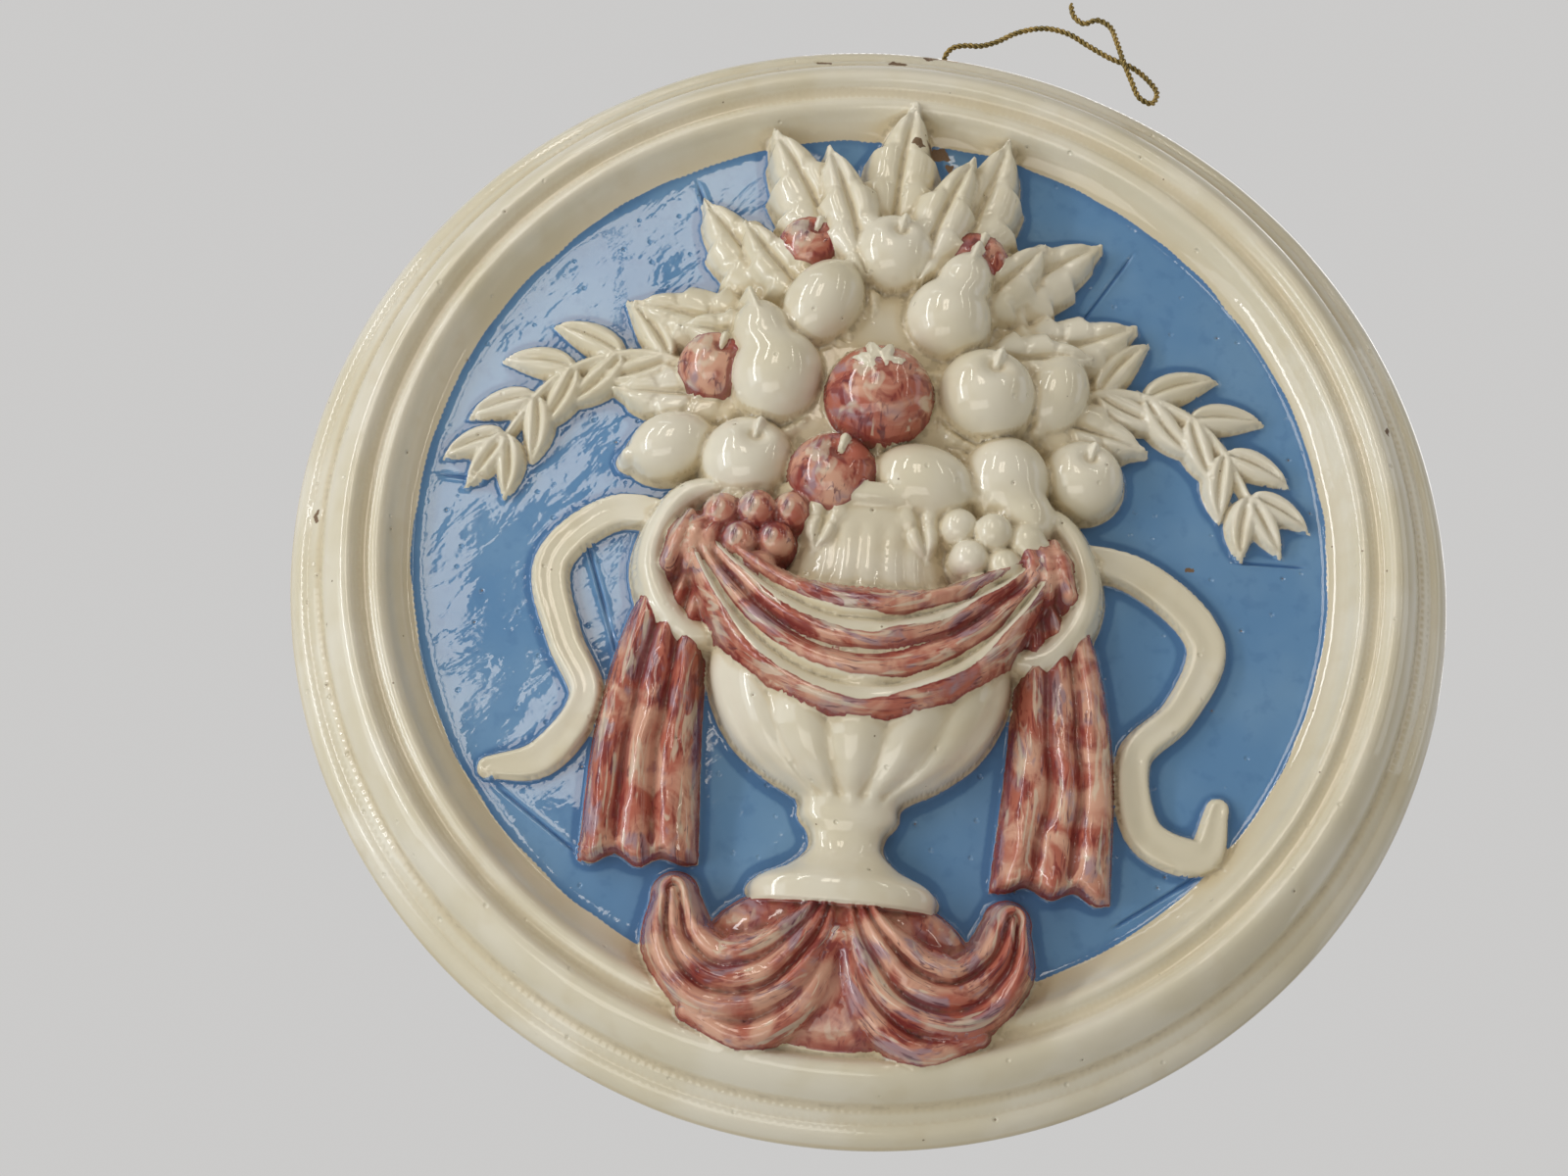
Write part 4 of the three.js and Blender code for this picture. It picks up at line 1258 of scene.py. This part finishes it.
def glazeMaterial():
    # four finishes, each with its own shader, that meet at painted or broken edges
    material, tree = newMaterial("tinGlaze")
    place = addNode(tree, "ShaderNodeTexCoord").outputs["Object"]
    hollow, wide = attribute(tree, "hollow"), attribute(tree, "wideHollow")
    scored, flow = attribute(tree, "scored"), attribute(tree, "flow", "Vector")

    # painted edges wander off the modelled ones, and glaze breaks off along ragged ones
    edges = {}
    for name, size, detail, reach in (("blue", 1.6, 1, 0.09), ("mauve", 4, 2, 0.5), ("bare", 1.1, 2, 0.7),
                                      ("clay", 16, 2, 0.8)):
        waver = calc(tree, "SUBTRACT", noise(tree, place, size, detail=detail), 0.5)
        edges[name] = calc(tree, "ADD", attribute(tree, name), calc(tree, "MULTIPLY", waver, reach))
    blueShare = between(tree, edges["blue"], 0.4, 0.6)
    mauveShare = between(tree, edges["mauve"], 0.42, 0.6)
    clayShare = between(tree, edges["clay"], 0.5, 0.62)
    bodyShare = calc(tree, "MAXIMUM", between(tree, edges["bare"], 0.45, 0.62), clayShare)

    # specks and pinholes, a fine peel, and slow swells that bend what the glaze mirrors
    given = surfaceSettings
    cells = addNode(tree, "ShaderNodeTexVoronoi", {"Vector": place, "Scale": 1000 / given["speckSpacing"]})
    chance = addNode(tree, "ShaderNodeSeparateColor", {0: cells.outputs["Color"]}).outputs
    far = cells.outputs["Distance"]
    speck = calc(tree, "MULTIPLY", between(tree, far, 0.06, 0.035), between(tree, chance[0], 0.62, 0.63))
    speck = calc(tree, "MULTIPLY", speck, 0.75)
    pit = calc(tree, "MULTIPLY", between(tree, far, 0.14, 0.03), between(tree, chance[1], 0.36, 0.38))
    peel = calc(tree, "MULTIPLY", noise(tree, place, given["peel"], detail=1), given["peelDepth"])
    marks = calc(tree, "SUBTRACT", peel, calc(tree, "MULTIPLY", pit, given["pitDepth"]))
    swell = noise(tree, place, given["swell"], detail=0)
    calmRipple = noise(tree, place, given["calmRipple"], detail=1)
    # the blue ground was wiped aslant, so its mirrored light is drawn out that way
    drawn = addNode(tree, "ShaderNodeMapping",
                    {"Vector": place, "Rotation": (0, math.radians(given["wipedAngle"]), 0),
                     "Scale": (given["wipedLength"], 1, 1)}, vector_type="TEXTURE").outputs[0]
    ripple = noise(tree, drawn, given["ripple"], detail=3, roughness=0.45, distortion=0.4)

    def heights(swellDepth, fine, fineDepth):
        slow = calc(tree, "MULTIPLY", swell, given[swellDepth])
        quick = calc(tree, "MULTIPLY", fine, given[fineDepth])
        return calc(tree, "ADD", calc(tree, "ADD", slow, quick), marks)

    calm = heights("calmSwell", calmRipple, "calmRippleDepth")
    waves = heights("blueSwell", ripple, "rippleDepth")
    grit = noise(tree, place, 0.8, detail=3)
    gloss = between(tree, noise(tree, place, 9, detail=1), 0.3, 0.7, given["smoothest"], given["roughest"])

    # brown in the hollows: dirt and painted shade together; the specks below are real marks
    grimeAndShade = between(tree, noise(tree, place, 3), 0.45, 0.62)
    grimeAndShade = calc(tree, "MULTIPLY", between(tree, hollow, 0.4, 1.0, 0, 0.3), grimeAndShade)
    specksDirtAndShade = calc(tree, "MAXIMUM", grimeAndShade, speck)
    cream = mix(tree, specksDirtAndShade, creamColour(tree, place, hollow, wide), colours["dirtAndShade"])
    blue = mix(tree, speck, blueColour(tree, place, hollow, scored), colours["dirtAndShade"])
    mauve = mix(tree, specksDirtAndShade, mauveColour(tree, place, flow, hollow, edges["mauve"]), colours["dirtAndShade"])
    broken = mix(tree, noise(tree, place, 0.9), colours["bareBody"], colours["dirtAndShade"])
    body = mix(tree, clayShare, broken, clayColour(tree, place))

    surface = finish(tree, cream, gloss, calm, "bumpDepth")
    others = ((blueShare, finish(tree, blue, gloss, waves, "bumpDepth")),
              (mauveShare, finish(tree, mauve, gloss, calm, "washDepth")),
              (bodyShare, finish(tree, body, given["clayRoughness"], grit, "clayDepth")))
    for share, other in others:
        surface = addNode(tree, "ShaderNodeMixShader", {0: share, 1: surface, 2: other}).outputs[0]
    addNode(tree, "ShaderNodeOutputMaterial", {"Surface": surface})
    return material


def addCasting():
    mesh = castingMesh()
    mesh.materials.append(glazeMaterial())
    casting = addObject("glazedPlaque", mesh)
    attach(casting, "root")
    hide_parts("plaque")
    triangles = sum(len(polygon.vertices) - 2 for polygon in mesh.polygons)
    print("casting made,", triangles, "triangles")


addCasting()

# A pale floor well below the plaque and soft lights, in metres
stageSettings = {
    "floorHeight": -1.3,
    "floorSize": 6.0,
    "floorColour": (222, 220, 216),
    "skyColour": (1.0, 0.99, 0.98),
    "roomStrength": 0.15,  # in front of the plaque
    "backdropStrength": 0.60,  # behind it
    # name: centre, width, height, watts, colour
    "lights": {
        "windowLeft": ((-0.275, -1.10, 0.32), 0.115, 0.55, 1.1, (1.0, 0.89, 0.76)),
        "windowRight": ((-0.135, -1.10, 0.32), 0.115, 0.55, 1.1, (1.0, 0.89, 0.76)),
        "leftStrip": ((-0.92, -0.55, 0.06), 0.09, 1.3, 3.6, (0.97, 0.98, 1.0)),
        "leftTube": ((-0.62, -0.95, 0.62), 0.07, 0.8, 1.9, (1.0, 0.97, 0.90)),
        "tube": ((0.55, -0.85, 0.62), 0.028, 0.8, 0.7, (1.0, 0.95, 0.82)),
        "farTube": ((0.85, -0.6, 0.30), 0.018, 0.9, 0.5, (1.0, 0.94, 0.80)),
        "rightPanel": ((1.15, -0.12, 0.25), 0.4, 1.0, 1.3, (0.88, 0.93, 1.0)),
        "topBox": ((-0.4, -0.35, 0.75), 0.5, 0.06, 0.25, (0.95, 0.97, 1.0)),
        "leftFill": ((-1.55, -0.9, -0.45), 1.1, 1.1, 7.0, (0.84, 0.92, 1.0)),
        "lowFill": ((-0.35, -0.95, -1.05), 1.0, 0.5, 3.4, (1.0, 0.95, 0.86)),
        "back": ((0.4, 1.2, 0.6), 1.0, 1.0, 4.0, (1.0, 0.98, 0.96)),
    },
    "aim": (0.0, -0.02, -0.149),
}


def addStage():
    size = stageSettings["floorSize"] / 2
    height = stageSettings["floorHeight"]
    mesh = bpy.data.meshes.new("floor")
    corners = [(-size, -size, height), (size, -size, height), (size, size, height), (-size, size, height)]
    mesh.from_pydata(corners, [], [(0, 1, 2, 3)])
    material, tree = newMaterial("paleFloor")
    finishMaterial(tree, {"Base Color": paint(*stageSettings["floorColour"]), "Roughness": 0.8})
    mesh.materials.append(material)
    addObject("floor", mesh)
    world = bpy.data.worlds.new("studio")
    world.use_nodes = True
    # a dim room in front, whose light the glaze mirrors, and a pale backdrop behind
    way = addNode(world.node_tree, "ShaderNodeTexCoord").outputs["Generated"]
    depth = addNode(world.node_tree, "ShaderNodeSeparateXYZ", {0: way}).outputs["Y"]
    strength = between(world.node_tree, depth, 0.0, 0.5, stageSettings["roomStrength"],
                       stageSettings["backdropStrength"])
    backdrop = world.node_tree.nodes["Background"]
    backdrop.inputs["Color"].default_value = (*stageSettings["skyColour"], 1)
    world.node_tree.links.new(strength, backdrop.inputs["Strength"])
    bpy.context.scene.world = world
    bpy.context.scene.view_settings.view_transform = "Standard"  # shows the paint's colours as they are
    aim = Vector(stageSettings["aim"])
    for name, (place, width, tall, watts, colour) in stageSettings["lights"].items():
        data = bpy.data.lights.new(name, "AREA")
        data.shape = "RECTANGLE"
        data.size, data.size_y = width, tall
        data.energy = watts
        data.color = colour
        light = addObject(name, data)
        light.location = place
        light.rotation_euler = (Vector(place) - aim).to_track_quat("Z", "Y").to_euler()


addStage()
print("stage lit")
